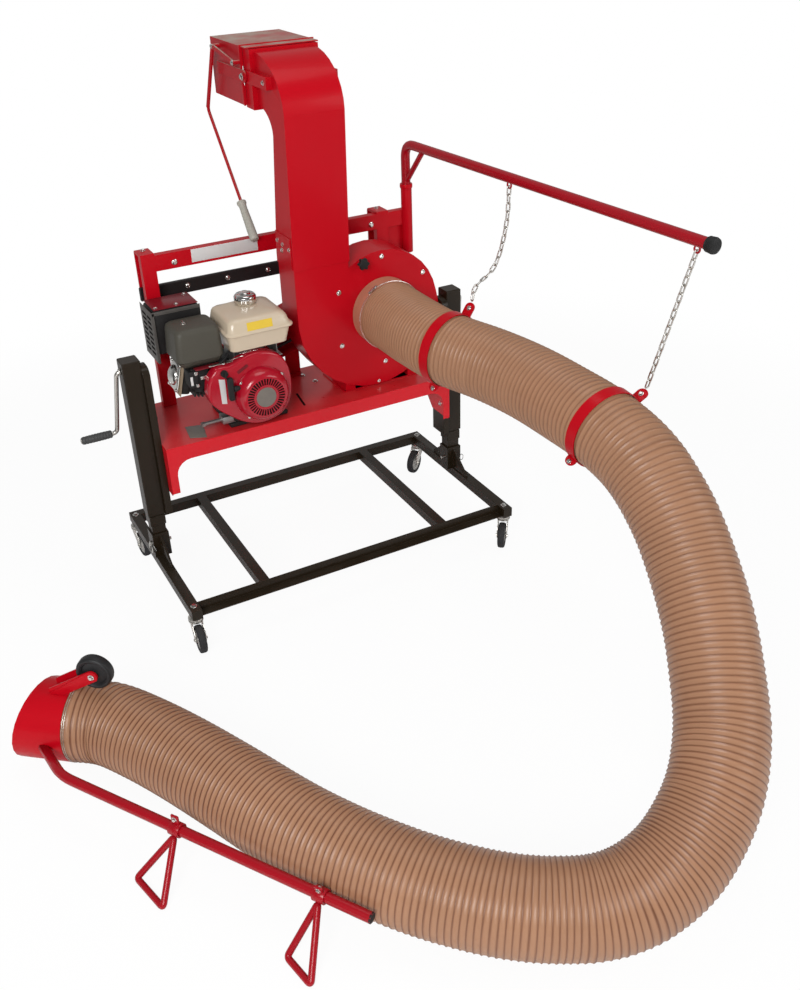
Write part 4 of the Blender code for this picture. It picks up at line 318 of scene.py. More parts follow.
@dataclass(frozen=True)
class HoseFinish(Finish):
    """The hose's skin: tan film between dark ribs."""

    rib: Triple = (0.115, 0.034, 0.014)

    def base_colour(self, tree: bpy.types.NodeTree) -> Socket:
        """Film and rib colours mixed by the piece's own rib attribute."""
        nodes = Nodes(tree)
        share = nodes.node("Attribute", attribute_name="rib").outputs["Fac"]
        return nodes.blend(share, (*self.colour, 1.0), (*self.rib, 1.0))


class Coat(Enum):
    """The finishes that the machine has, with darker and brighter copies of the red paint that carry painted shade and
    light, and a painted shade for slots and gaps.
    """

    RED = Finish(
        "red_gloss_paint", "red_paint", (0.47, 0.002, 0.009), 0.30, specular=0.12, coat=0.05, coat_roughness=0.05,
        mottle=(0.03, 4.0), skin=(0.05, 260.0),
    )
    # A darker copy of the red paint: painted shade on the boom, the handles and their bar.
    RED_SHADED_TUBE = Finish(
        "red_gloss_painted_shade_tube", "red_paint", (0.33, 0.003, 0.010), 0.30, specular=0.25, coat=0.10, coat_roughness=0.05,
        mottle=(0.06, 9.0), skin=(0.05, 260.0),
    )
    # The red paint under a heavy upward film: dust, and a painted reflection of the ceiling on the hood's top.
    RED_SHEEN_AND_DUST_TOP = Finish(
        "red_paint_dust_and_painted_sheen_on_top", "red_paint", (0.42, 0.003, 0.010), 0.34, specular=0.15, coat=0.06,
        mottle=(0.05, 4.0), skin=(0.05, 260.0), dust_and_sheen=1.0,
    )
    # A brighter copy of the red paint: painted light for the deck's top, lit and reflecting the pale surroundings.
    RED_LIT_DECK = Finish(
        "red_paint_painted_light_on_deck", "red_paint", (0.62, 0.004, 0.013), 0.26, specular=0.3, coat=0.15,
        mottle=(0.04, 4.0), skin=(0.05, 260.0), dust_and_sheen=0.10,
    )
    CRIMSON = Finish(
        "crimson_engine_paint", "red_paint", (0.38, 0.003, 0.016), 0.22, coat=0.40, coat_roughness=0.04,
        mottle=(0.05, 9.0), skin=(0.06, 200.0),
    )
    MAROON = Finish("dark_red_panel", "red_paint", (0.16, 0.006, 0.012), 0.35, specular=0.3, coat=0.1)
    BLACK = Finish(
        "black_powder_coat", "black_steel", (0.016, 0.010, 0.0045), 0.34, specular=0.28, skin=(0.22, 420.0),
        dust_and_sheen=0.03, wear=0.10, worn=(0.07, 0.055, 0.04),
    )
    MUFFLER = Finish("black_heat_paint", "black_steel", (0.007, 0.006, 0.006), 0.5, specular=0.3, skin=(0.3, 300.0))
    ZINC = Finish(
        "zinc_plate", "zinc", (0.62, 0.60, 0.56), 0.34, metallic=1.0, mottle=(0.16, 38.0), skin=(0.05, 300.0),
        wear=0.2, worn=(0.34, 0.31, 0.27),
    )
    BRIGHT = Finish("bright_bolt", "zinc", (0.74, 0.73, 0.70), 0.22, metallic=1.0, mottle=(0.1, 60.0))
    TYRE = Finish(
        "grey_black_tyre", "tyre", (0.022, 0.022, 0.024), 0.68, specular=0.3, skin=(0.4, 320.0), dust_and_sheen=0.06,
        mottle=(0.12, 30.0),
    )
    HUB = Finish("wheel_centre", "tyre", (0.36, 0.35, 0.33), 0.5, skin=(0.2, 300.0), dust_and_sheen=0.05)
    DARK_WHEEL = Finish("black_wheel", "tyre", (0.012, 0.012, 0.013), 0.5, skin=(0.3, 320.0), mottle=(0.2, 30.0))
    RUBBER = Finish("matt_black_rubber", "rubber", (0.012, 0.012, 0.012), 0.55, specular=0.3, skin=(0.3, 500.0))
    BUFFER = Finish(
        "black_buffer_rubber", "rubber", (0.012, 0.009, 0.009), 0.42, skin=(0.15, 240.0), mottle=(0.3, 22.0),
    )
    DARK_GRIP = Finish("dark_grey_grip", "rubber", (0.050, 0.050, 0.050), 0.55, skin=(0.3, 500.0))
    CLEANER = Finish(
        "grained_grey_moulding", "grey_plastic", (0.066, 0.061, 0.048), 0.46, specular=0.3, skin=(0.35, 700.0),
    )
    PALE = Finish("pale_grey_moulding", "pale_plastic", (0.40, 0.39, 0.34), 0.48, skin=(0.15, 420.0))
    TANK = Finish("cream_tank_paint", "tank_paint", (0.56, 0.465, 0.345), 0.28, coat=0.3, mottle=(0.03, 6.0))
    ALLOY = Finish(
        "as_cast_alloy", "cast_alloy", (0.40, 0.40, 0.39), 0.5, metallic=1.0, skin=(0.5, 240.0), mottle=(0.2, 30.0),
    )
    FINS = Finish("black_cast_fins", "cast_alloy", (0.016, 0.015, 0.014), 0.5, specular=0.3, skin=(0.4, 240.0))
    CHROME = Finish(
        "bright_chrome", "chrome", (0.72, 0.71, 0.69), 0.10, metallic=1.0, skin=(0.0, 1.0), mottle=(0.05, 20.0),
    )
    HOSE = HoseFinish(
        "tan_ribbed_hose", "hose", (0.368, 0.190, 0.107), 0.40, specular=0.3, coat=0.12, coat_roughness=0.25,
        mottle=(0.13, 3.0), skin=(0.14, 130.0),
    )
    CUFF = Finish(
        "clear_hose_end", "hose", (0.44, 0.185, 0.115), 0.32, coat=0.2, mottle=(0.25, 14.0), skin=(0.2, 120.0),
    )
    BELT = Finish("black_v_belt", "belt", (0.022, 0.022, 0.022), 0.6, skin=(0.3, 300.0))
    LABEL = Finish("bare_white_plate", "pale_plastic", (0.62, 0.61, 0.60), 0.4, mottle=(0.04, 40.0))
    YELLOW = Finish("bare_yellow_plate", "pale_plastic", (0.72, 0.50, 0.05), 0.4, mottle=(0.05, 40.0))
    GREY_PLATE = Finish(
        "bare_grey_plate", "zinc", (0.17, 0.15, 0.13), 0.42, mottle=(0.2, 50.0), skin=(0.2, 200.0),
    )
    GUARD = Finish(
        "dark_grey_sheet", "black_steel", (0.075, 0.068, 0.062), 0.42, mottle=(0.2, 40.0), skin=(0.2, 300.0),
    )
    GASKET = Finish("tan_gasket", "pale_plastic", (0.33, 0.25, 0.17), 0.6, mottle=(0.15, 50.0), skin=(0.3, 400.0))
    # Near black painted shade, laid where slots and gaps show only shade.
    SHADOW = Finish("painted_shade", "rubber", (0.003, 0.002, 0.002), 0.9, specular=0.1)


# --- Shapes ------------------------------------------------------------------


def turn_to(direction: Point) -> Matrix:
    """The turn that takes +Z to a direction."""
    return Vector(direction).to_track_quat("Z", "Y").to_matrix().to_4x4()


def about(axis: object, degrees: float) -> Matrix:
    """A turn about an axis, in degrees."""
    return Matrix.Rotation(math.radians(degrees), 4, axis)


def round_edges(shape: Shape, width: float, segments: int = 2, over: float = 25.0) -> None:
    """Bevel the edges that turn by more than an angle in degrees."""
    sharp = [edge for edge in shape.edges if edge.is_manifold and edge.calc_face_angle() > math.radians(over)]
    bevel(shape, sharp, width, segments)


def bevel(shape: Shape, edges: Sequence[bmesh.types.BMEdge], width: float, segments: int) -> None:
    """Round the edges given."""
    bmesh.ops.bevel(shape, geom=edges, offset=width, segments=segments, profile=0.5, material=-1, affect="EDGES")


def block(low: Point, high: Point, rounding: float = 0.0, segments: int = 2) -> Shape:
    """A box between two corners, its edges rounded to a width in a number of steps."""
    low, high = Vector(low), Vector(high)
    shape = bmesh.new()
    bmesh.ops.create_cube(shape, size=1.0)
    bmesh.ops.scale(shape, vec=high - low, verts=shape.verts)
    bmesh.ops.translate(shape, vec=(low + high) / 2, verts=shape.verts)
    if rounding:
        round_edges(shape, rounding, segments)
    return shape


def rod(start: Point, end: Point, radius: float, sides: int = 32) -> Shape:
    """A round bar between two points."""
    start, end = Vector(start), Vector(end)
    shape = bmesh.new()
    bmesh.ops.create_cone(
        shape, cap_ends=True, segments=sides, radius1=radius, radius2=radius, depth=(end - start).length,
        matrix=Matrix.Translation((start + end) / 2) @ turn_to(end - start),
    )
    return shape


def turned(start: Point, along: Point, profile: Sequence[Pair], sides: int = 48) -> Shape:
    """Turn a closed half section round an axis.

    Args:
        start: where the axis begins.
        along: the axis's direction.
        profile: (distance along, radius) points.
        sides: steps of the full turn.

    Returns:
        The turned shape.
    """
    shape = bmesh.new()
    corners = [shape.verts.new((radius, 0, distance)) for distance, radius in profile]
    edges = [shape.edges.new((corners[i - 1], corners[i])) for i in range(len(corners))]
    bmesh.ops.spin(
        shape, geom=corners + edges, cent=(0, 0, 0), axis=UP, angle=math.tau, steps=sides, use_merge=True,
    )
    bmesh.ops.remove_doubles(shape, verts=shape.verts, dist=DOUBLE)
    loose = [edge for edge in shape.edges if not edge.link_faces]
    bmesh.ops.delete(shape, geom=loose, context="EDGES")
    bmesh.ops.recalc_face_normals(shape, faces=shape.faces)
    return moved(shape, Matrix.Translation(Vector(start)) @ turn_to(along))


def plate(outline: Sequence[Pair], axis: int, low: float, high: float, rounding: float = 0.0) -> Shape:
    """A flat shape with thickness along an axis, drawn by its outline in the other two coordinates."""
    shape = bmesh.new()
    corners = []
    for point in outline:
        place = list(point)
        place.insert(axis, low)
        corners.append(shape.verts.new(place))
    grown = bmesh.ops.extrude_face_region(shape, geom=[shape.faces.new(corners)])
    step = [0.0, 0.0]
    step.insert(axis, high - low)
    bmesh.ops.translate(shape, vec=step, verts=[item for item in grown["geom"] if isinstance(item, bmesh.types.BMVert)])
    bmesh.ops.recalc_face_normals(shape, faces=shape.faces)
    if rounding:
        round_edges(shape, rounding)
    return shape


def stacked(rings: Sequence[tuple[float, ...]], steps: int = 8) -> Shape:
    """A moulded shape through rounded rectangles at rising heights.

    Args:
        rings: (height, low x, high x, low y, high y, corner radius) of each rectangle.
        steps: steps round a corner.

    Returns:
        The closed shape.
    """
    shape = bmesh.new()
    loops = []
    for z, x0, x1, y0, y1, r in rings:
        outline = []
        for quarter, corner in enumerate(((x1 - r, y1 - r), (x0 + r, y1 - r), (x0 + r, y0 + r), (x1 - r, y0 + r))):
            outline += arc(corner, (r, r), 90 * quarter, 90 * quarter + 90, steps)
        loops.append([shape.verts.new((x, y, z)) for x, y in outline])
    for low, high in zip(loops, loops[1:]):
        for i in range(len(low)):
            shape.faces.new((low[i - 1], low[i], high[i], high[i - 1]))
    shape.faces.new(loops[0])
    shape.faces.new(loops[-1])
    bmesh.ops.recalc_face_normals(shape, faces=shape.faces)
    return shape


def moved(shape: Shape, matrix: Matrix) -> Shape:
    """The same shape under a transform."""
    bmesh.ops.transform(shape, matrix=matrix, verts=shape.verts)
    return shape


def arc(centre: Point, radii: Point, start: float, end: float, steps: int) -> list[Pair]:
    """Points on an ellipse's arc, with angles in degrees."""
    angles = [math.radians(start + (end - start) * i / steps) for i in range(steps + 1)]
    return [(centre[0] + radii[0] * math.cos(a), centre[1] + radii[1] * math.sin(a)) for a in angles]


def around(count: int) -> list[Pair]:
    """Cosine and sine at equal steps of a full turn."""
    return [(math.cos(math.tau * i / count), math.sin(math.tau * i / count)) for i in range(count)]


def on_circle(centre: Point, radius: float, angles: Iterable[float]) -> list[Triple]:
    """Points on an upright circle that faces forward, at angles in degrees."""
    x, y, z = centre
    return [(x + radius * math.cos(a), y, z + radius * math.sin(a)) for a in (math.radians(angle) for angle in angles)]


def tube(
    points: Sequence[Point], radius: float, resolution: int = 4, closed: bool = False, capped: bool = True,
) -> Shape:
    """A round tube through points, made by a bevelled curve.

    Args:
        points: the route.
        radius: the tube's radius.
        resolution: the curve's bevel resolution.
        closed: whether the route is a ring.
        capped: whether open ends are filled.

    Returns:
        The tube.
    """
    curve = bpy.data.curves.new("route", "CURVE")
    curve.dimensions = "3D"
    curve.bevel_depth = 1.0
    curve.bevel_resolution = resolution
    curve.use_fill_caps = capped and not closed
    spline = curve.splines.new("POLY")
    spline.points.add(len(points) - 1)
    spline.use_cyclic_u = closed
    for knot, point in zip(spline.points, points):
        knot.co = (*point, 1.0)
        knot.radius = radius
    carrier = bpy.data.objects.new("route", curve)
    bpy.context.scene.collection.objects.link(carrier)
    mesh = bpy.data.meshes.new_from_object(carrier.evaluated_get(bpy.context.evaluated_depsgraph_get()))
    shape = bmesh.new()
    shape.from_mesh(mesh)
    bpy.data.objects.remove(carrier, do_unlink=True)
    bpy.data.curves.remove(curve)
    bpy.data.meshes.remove(mesh)
    return shape


def welded(shape: Shape) -> Shape:
    """The shape with its doubles merged and its faces turned outwards."""
    bmesh.ops.remove_doubles(shape, verts=shape.verts, dist=DOUBLE)
    bmesh.ops.recalc_face_normals(shape, faces=shape.faces)
    return shape


def rounded(points: Sequence[Point], bend: float, steps: int = 8) -> list[Vector]:
    """A route with each inner corner replaced by a smooth bend."""
    points = [Vector(point) for point in points]
    shares = [i / steps for i in range(steps + 1)]
    route = [points[0]]
    for before, corner, after in zip(points, points[1:], points[2:]):
        enter = corner + (before - corner).normalized() * bend
        leave = corner + (after - corner).normalized() * bend
        route += [(1 - t) ** 2 * enter + 2 * t * (1 - t) * corner + t**2 * leave for t in shares]
    return [*route, points[-1]]


def hex_bolt(at: Point, along: Point, size: float) -> list[Shape]:
    """A hexagon head with its washer and a crowned top.

    Args:
        at: the point on the surface.
        along: the direction out of the surface.
        size: the head's radius over its corners.

    Returns:
        The washer and the head.
    """
    ring = [(0, 0), (0, 1.35), (0.16, 1.35), (0.22, 1.25), (0.22, 0)]
    crown = [(0, 0), (0, 1.0), (0.5, 1.0), (0.68, 0.78), (0.68, 0)]
    washer = turned(at, along, [(size * a, size * b) for a, b in ring], 24)
    head = turned((0, 0, 0), UP, [(size * a, size * b) for a, b in crown], 6)
    lift = Matrix.Translation((0, 0, size * 0.2))
    return [washer, moved(head, Matrix.Translation(Vector(at)) @ turn_to(along) @ lift)]


def dome_bolt(at: Point, along: Point, size: float) -> list[Shape]:
    """A domed coach bolt head with a thin rim."""
    crown = [(size * 0.62 * math.sin(math.radians(a)), size * math.cos(math.radians(a))) for a in range(0, 91, 15)]
    return [turned(at, along, [(0, 0), (0, size * 1.15), (size * 0.10, size * 1.12), *crown], 24)]


def smooth(points: Sequence[Point], steps: int = 8) -> list[Vector]:
    """A Catmull-Rom curve through given points."""
    points = [Vector(point) for point in points]
    ends = [2 * points[0] - points[1], *points, 2 * points[-1] - points[-2]]
    route = []
    for a, b, c, d in zip(ends, ends[1:], ends[2:], ends[3:]):
        cube, square = 3 * b - a - 3 * c + d, 2 * a - 5 * b + 4 * c - d
        route += [0.5 * (2 * b + (c - a) * t + square * t**2 + cube * t**3) for t in (i / steps for i in range(steps))]
    return [*route, points[-1]]


class Route:
    """A line of points that can be read by distance from its start."""

    def __init__(self, points: Sequence[Vector]) -> None:
        """Measure the line."""
        self.points = list(points)
        self.run = [0.0]
        for before, after in zip(points, points[1:]):
            self.run.append(self.run[-1] + (after - before).length)

    @property
    def length(self) -> float:
        """The line's whole length."""
        return self.run[-1]

    def at(self, distance: float) -> Vector:
        """The point at a distance, going on straight past the end."""
        if distance <= 0:
            return self.points[0]
        for i in range(1, len(self.run)):
            if self.run[i] >= distance:
                share = (distance - self.run[i - 1]) / (self.run[i] - self.run[i - 1])
                return self.points[i - 1].lerp(self.points[i], share)
        return self.points[-1] + (self.points[-1] - self.points[-2]).normalized() * (distance - self.length)

    def sample(self, spacing: float) -> list[Vector]:
        """Points at equal distances, near the spacing asked for."""
        count = max(1, round(self.length / spacing))
        return [self.at(self.length * i / count) for i in range(count + 1)]


# --- Pieces ------------------------------------------------------------------


def as_object(name: str, shapes: Iterable[Shape], coat: Coat, sharp: float = 38.0) -> bpy.types.Object:
    """Merge shapes drawn in the source's frame into one dressed object.

    Args:
        name: the piece's name.
        shapes: the shapes, which are freed.
        coat: its finish.
        sharp: the angle in degrees above which an edge stays sharp.

    Returns:
        The object, at the origin with its place in its mesh.
    """
    whole = bmesh.new()
    for shape in shapes:
        part = bpy.data.meshes.new("part")
        shape.to_mesh(part)
        shape.free()
        whole.from_mesh(part)
        bpy.data.meshes.remove(part)
    bmesh.ops.translate(whole, vec=SHIFT, verts=whole.verts)
    mesh = bpy.data.meshes.new(name)
    whole.to_mesh(mesh)
    whole.free()
    mesh.shade_smooth()
    mesh.set_sharp_from_angle(angle=math.radians(sharp))
    made = bpy.data.objects.new(name, mesh)
    bpy.context.scene.collection.objects.link(made)
    made.data.materials.append(coat.value.material())
    LOG.info("%s: %d faces, %s", name, len(mesh.polygons), coat.name.lower())
    return made


def piece(
    name: str, shapes: Iterable[Shape], coat: Coat, body: str = MACHINE, replaces: str = "", sharp: float = 38.0
) -> bpy.types.Object:
    """A dressed piece that rides on a body, and stands for the node it replaces."""
    made = as_object(name, shapes, coat, sharp)
    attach(made, body)
    if replaces:
        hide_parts(replaces)
    return made


def bolts(name: str, spots: Iterable[tuple[Point, Point, float]], body: str = MACHINE) -> None:
    """A piece of hexagon bolts, each with its point, its direction and its size."""
    piece(name, [shape for at, along, size in spots for shape in hex_bolt(at, along, size)], Coat.BRIGHT, body)


def refined(node: str, coat: Coat, edge: float, sharp: float = 34.0, segments: int = 2) -> bpy.types.Object:
    """A copy of a CAD node with softened edges and smooth round faces, which stands for it.

    Args:
        node: the CAD node.
        coat: its finish.
        edge: width of its edges' rounding.
        sharp: the angle in degrees above which an edge is rounded.
        segments: steps round an edge.

    Returns:
        The object.
    """
    shape = bmesh.new()
    shape.from_mesh(frame["nodes"][node].data)
    bmesh.ops.remove_doubles(shape, verts=shape.verts, dist=NODE_DOUBLE)
    bmesh.ops.dissolve_limit(
        shape, angle_limit=math.radians(FLAT), use_dissolve_boundaries=False, verts=shape.verts, edges=shape.edges,
    )
    bmesh.ops.translate(shape, vec=-SHIFT, verts=shape.verts)
    made = piece(f"{node}_refined", [shape], coat, frame["nodes"][node]["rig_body"], node, sharp)
    if edge:
        softened = made.modifiers.new("edges", "BEVEL")
        softened.width = edge
        softened.segments = segments
        softened.limit_method = "ANGLE"
        softened.angle_limit = math.radians(sharp)
        softened.harden_normals = True
        softened.use_clamp_overlap = True
    return made


# --- Trolley, castors and legs -----------------------------------------------


@dataclass(frozen=True)
class Trolley:
    """The welded base of the machine.

    Attributes:
        rail_top: height of the rails' tops.
        castor_x: distance of the castors from the middle, left and right.
        castor_y: distance of the castors from the middle, front and back.
        rail_end: distances between which a rail's end plug lies.
    """

    rail_top: float = 0.165
    castor_x: float = 0.6315
    castor_y: float = 0.343
    rail_end: Pair = (0.3700, 0.3742)

    def build(self) -> None:
        """Dress the frame and add its bolts and the plugs in its rails' open ends."""
        refined("base_frame", Coat.BLACK, 0.0014)
        places = [(x, y) for x in (-self.castor_x, self.castor_x) for y in (-self.castor_y, self.castor_y)]
        bolts("castor_bolts", [((*place, self.rail_top), UP, 0.0085) for place in places], TROLLEY)
        caps = []
        inner = 0.0145
        for x in (-self.castor_x, self.castor_x):
            for side in (-1, 1):
                y0, y1 = sorted(side * y for y in self.rail_end)
                low, high = self.rail_top - 0.033, self.rail_top - 0.004
                caps.append(block((x - inner, y0, low), (x + inner, y1, high), 0.0015))
        piece("rail_end_plugs", caps, Coat.RUBBER, TROLLEY)


@dataclass(frozen=True)
class Castor:
    """One swivel castor: crown, bent fork, axle and wheel.

    Attributes:
        corner: its corner's name.
        place: the swivel's point on the floor.
        heading: where its trail points, in degrees.
        trail: distance of the axle from the swivel.
        radius: the wheel's radius.
        width: the wheel's width.
        wall: thickness of the fork's sheet.
        crown_top: height of the fork's top.
    """

    corner: str
    place: Point
    heading: float
    trail: float = 0.036
    radius: float = 0.050
    width: float = 0.030
    wall: float = 0.003
    crown_top: float = 0.1277

    @property
    def frame(self) -> Matrix:
        """The castor's own frame, trail along +X."""
        return Matrix.Translation(self.place) @ about("Z", self.heading)

    def cheek(self, side: int) -> Shape:
        """One bent side of the fork."""
        inner = self.width / 2 + 0.0015
        low, high = sorted((side * inner, side * (inner + self.wall)))
        top = self.radius * 2
        outline = [
            (-0.020, top + 0.010), (-0.020, top - 0.004), (-0.006, top - 0.020), (self.trail - 0.012, self.radius),
            *arc((self.trail, self.radius), (0.012, 0.012), 180, 360, 12),
            (self.trail + 0.011, self.radius * 1.5), (0.024, top), (0.024, top + 0.010),
        ]
        return plate(outline, 1, low, high, 0.0008)

    def build(self) -> None:
        """Make the fork with its raceway and nuts, the tyre and the wheel's centre."""
        base = self.radius * 2 + 0.006
        high = self.crown_top - base
        crown = [
            (0, 0), (0, 0.025), (0.002, 0.026), (0.006, 0.026), (0.008, 0.0235), (0.010, 0.0235), (0.012, 0.026),
            (0.015, 0.026), (0.017, 0.0235), (high, 0.018), (high, 0),
        ]
        reach = self.width / 2 + 0.0045
        axle = rod((self.trail, -reach, self.radius), (self.trail, reach, self.radius), 0.005, 20)
        shapes = [turned((0, 0, base), UP, crown), self.cheek(-1), self.cheek(1), axle]
        for side in (-1, 1):
            shapes += hex_bolt((self.trail, side * reach, self.radius), (0, side, 0), 0.0052)
        name = f"castor_fork_{self.corner}"
        place = self.frame
        shapes = [moved(shape, place) for shape in shapes]
        piece(f"castor_fork_plated_{self.corner}", shapes, Coat.ZINC, name, name)
        start = (self.trail, -self.width / 2, self.radius)
        w, r = self.width, self.radius
        tread = [(0.20, 0.70), (0.10, 0.74), (0.05, 0.84), (0.10, 0.94), (0.22, 0.99), (0.40, 1.0)]
        far = [(0.60, 1.0), (0.78, 0.99), (0.90, 0.94), (0.95, 0.84), (0.90, 0.74), (0.80, 0.70)]
        tyre = [(w * a, r * b) for a, b in tread + far]
        centre = [
            (0.001, 0.0055), (0.001, 0.011), (w * 0.20, 0.013), (w * 0.32, r * 0.55), (w * 0.18, r * 0.68),
            (w * 0.18, r * 0.72), (w * 0.82, r * 0.72), (w * 0.82, r * 0.68), (w * 0.68, r * 0.55), (w * 0.80, 0.013),
            (w - 0.001, 0.011), (w - 0.001, 0.0055),
        ]
        body = f"castor_wheel_{self.corner}"
        tyre_shape, centre_shape = turned(start, BACKWARD, tyre, 64), turned(start, BACKWARD, centre)
        piece(f"castor_tyre_{self.corner}", [moved(tyre_shape, place)], Coat.TYRE, body, body, 50)
        piece(f"castor_centre_{self.corner}", [moved(centre_shape, place)], Coat.HUB, body)


@dataclass(frozen=True)
class JackLeg:
    """One telescopic leg with its side plate, pin, crank and grip.

    Attributes:
        side: -1 on the left, 1 on the right.
        word: left or right.
        x: distance of the leg's middle from the machine's.
        y: its place, front to back.
        inner_face: distance of the side plate's inner face from the machine's middle.
        clip_z: height of the spring clip.
        crank_z: height of the crank's shaft.
        arm: length of the crank's arm.
        lean: the arm's lean in degrees.
        rod_radius: the crank's radius.
        grip_length: the grip's length.
        grip_radius: its radius.
    """

    side: int
    word: str
    x: float = 0.622
    y: float = 0.044
    inner_face: float = 0.5638
    clip_z: float = 0.210
    crank_z: float = 0.897
    arm: float = 0.250
    lean: float = 13.0
    rod_radius: float = 0.0075
    grip_length: float = 0.105
    grip_radius: float = 0.014

    def build(self) -> None:
        """Dress the leg's tubes and build its spring clip, crank, grip and plate bolts."""
        side, y = self.side, self.y
        refined(f"inner_leg_{self.word}", Coat.BLACK, 0.0015)
        refined(f"outer_leg_{self.word}", Coat.BLACK, 0.0022, segments=3)
        refined(f"leg_pin_{self.word}", Coat.ZINC, 0.0)
        x = side * (self.x + 0.030)
        ring = [(x + side * 0.004 * b, y - 0.040 + 0.011 * a, self.clip_z + 0.011 * b) for a, b in around(24)]
        piece(f"spring_clip_{self.word}", [tube(ring, 0.0013, 2, True)], Coat.BRIGHT, f"leg_pin_{self.word}")
        self.crank()
        spots = ((0.004, 0.815), (-0.004, 0.700), (0.020, 0.560), (-0.022, 0.470))
        places = [((side * self.inner_face, y + along, z), (-side, 0, 0), 0.0065) for along, z in spots]
        bolts(f"side_plate_bolts_{self.word}", places)

    def crank(self) -> None:
        """The bent crank with its collar, and the ribbed grip on its end."""
        lean = math.radians(self.lean)
        side = self.side
        start = Vector((side * (self.x + 0.012), self.y, self.crank_z))
        elbow = Vector((side * (self.x + 0.046), self.y, self.crank_z))
        corner = elbow + Vector((side * 0.022, self.arm * math.sin(lean), -self.arm * math.cos(lean)))
        tip = corner + Vector((side * (self.grip_length + 0.022), 0, 0))
        collar_at = (side * (self.x + 0.0325), self.y, self.crank_z)
        collar = [(0, 0), (0, 0.0105), (0.001, 0.0115), (0.005, 0.0115), (0.006, 0.0105), (0.006, 0)]
        bent = welded(tube(rounded([start, elbow, corner, tip], 0.018), self.rod_radius, 4))
        shapes = [bent, turned(collar_at, (side, 0, 0), collar, 32)]
        piece(f"crank_bent_{self.word}", shapes, Coat.ZINC, f"crank_{self.word}", f"crank_{self.word}", 50)
        length, r, bore = self.grip_length, self.grip_radius, self.rod_radius + 0.0005
        profile = [(0, bore), (0, r * 0.80), (0.002, r * 0.95)]
        for i in range(9):
            at = 0.010 + i * (length - 0.024) / 8
            swell = r * (0.97 + 0.07 * math.sin(math.pi * at / length))
            rib = ((-0.0022, swell), (-0.0008, swell * 0.93), (0.0008, swell * 0.93), (0.0022, swell))
            profile += [(at + step, size) for step, size in rib]
        profile += [(length - 0.004, r * 0.95), (length, r * 0.74), (length, bore)]
        grip = turned(corner + Vector((side * 0.019, 0, 0)), (side, 0, 0), profile, 32)
        node = f"crank_grip_{self.word}"
        piece(f"crank_grip_ribbed_{self.word}", [grip], Coat.DARK_GRIP, node, node, 60)


# --- Deck, rear frame and boom -----------------------------------------------


@dataclass(frozen=True)
class Deck:
    """The folded deck sheet with its end plates and the fittings on it.

    Attributes:
        top: height of the sheet's upper face.
    """

    top: float = 0.615

    def build(self) -> None:
        """Dress the sheet and add its plates and bolts."""
        top = self.top
        # The deck takes a brighter copy of the red paint: painted light on its top.
        refined("deck", Coat.RED_LIT_DECK, 0.0016, 25)
        corner = [(-0.455, 0.085), (-0.393, 0.069), (-0.413, -0.030), (-0.467, -0.006)]
        piece("deck_corner_plate", [plate(corner, 2, top + 0.0003, top + 0.0023, 0.0005)], Coat.GREY_PLATE)
        slot = block((-0.012, 0.018, top + 0.0002), (-0.004, 0.128, top + 0.0006))
        middle = Vector((-0.012, 0.075, 0))
        turn = Matrix.Translation(middle) @ about("Z", -8) @ Matrix.Translation(-middle)
        piece("deck_slot_shade", [moved(slot, turn)], Coat.SHADOW)
        flat = ((0.105, 0.190), (0.084, 0.262), (0.190, 0.235), (0.480, 0.215))
        feet = [(x, y) for x in (-0.300, -0.110) for y in (0.010, 0.170)]
        spots = [((*spot, top + 0.0004), UP, 0.0075) for spot in flat]
        bolts("deck_bolts", spots + [((*spot, top + 0.0163), UP, 0.0070) for spot in feet])


@dataclass(frozen=True)
class RearFrame:
    """The two uprights with crossbar, hooks, buffer strip and the boom's socket.

    Attributes:
        front: the crossbar's front face.
        bar_low: height of the crossbar's underside.
        bar_top: height of its upper side.
        buffer_front: the buffer strip's front face.
        buffer_x: places of the buffer strip's bolts.
    """

    front: float = 0.280
    bar_low: float = 1.128
    bar_top: float = 1.185
    buffer_front: float = 0.337
    buffer_x: tuple[float, ...] = (-0.300, -0.147, 0.012, 0.170, 0.330)

    def build(self) -> None:
        """Dress the frame and add its label plate and bolts."""
        front, low, top = self.front, self.bar_low, self.bar_top
        refined("rear_frame", Coat.RED, 0.0016)
        refined("buffer_strip", Coat.BUFFER, 0.0015)
        label = block((-0.289, front - 0.0006, low + 0.009), (-0.040, front + 0.0003, top - 0.002), 0.0002)
        piece("crossbar_bare_label", [label], Coat.LABEL)
        domes = [shape for x in self.buffer_x for shape in dome_bolt((x, self.buffer_front, 1.037), FORWARD, 0.0085)]
        piece("buffer_dome_bolts", domes, Coat.BRIGHT)
        spots = [((x, front, 1.150), FORWARD, 0.0075) for x in (-0.352, 0.420)]
        bolts("rear_frame_bolts", spots + [((x, 0.330, top + 0.008), UP, 0.0068) for x in (-0.444, 0.470)])


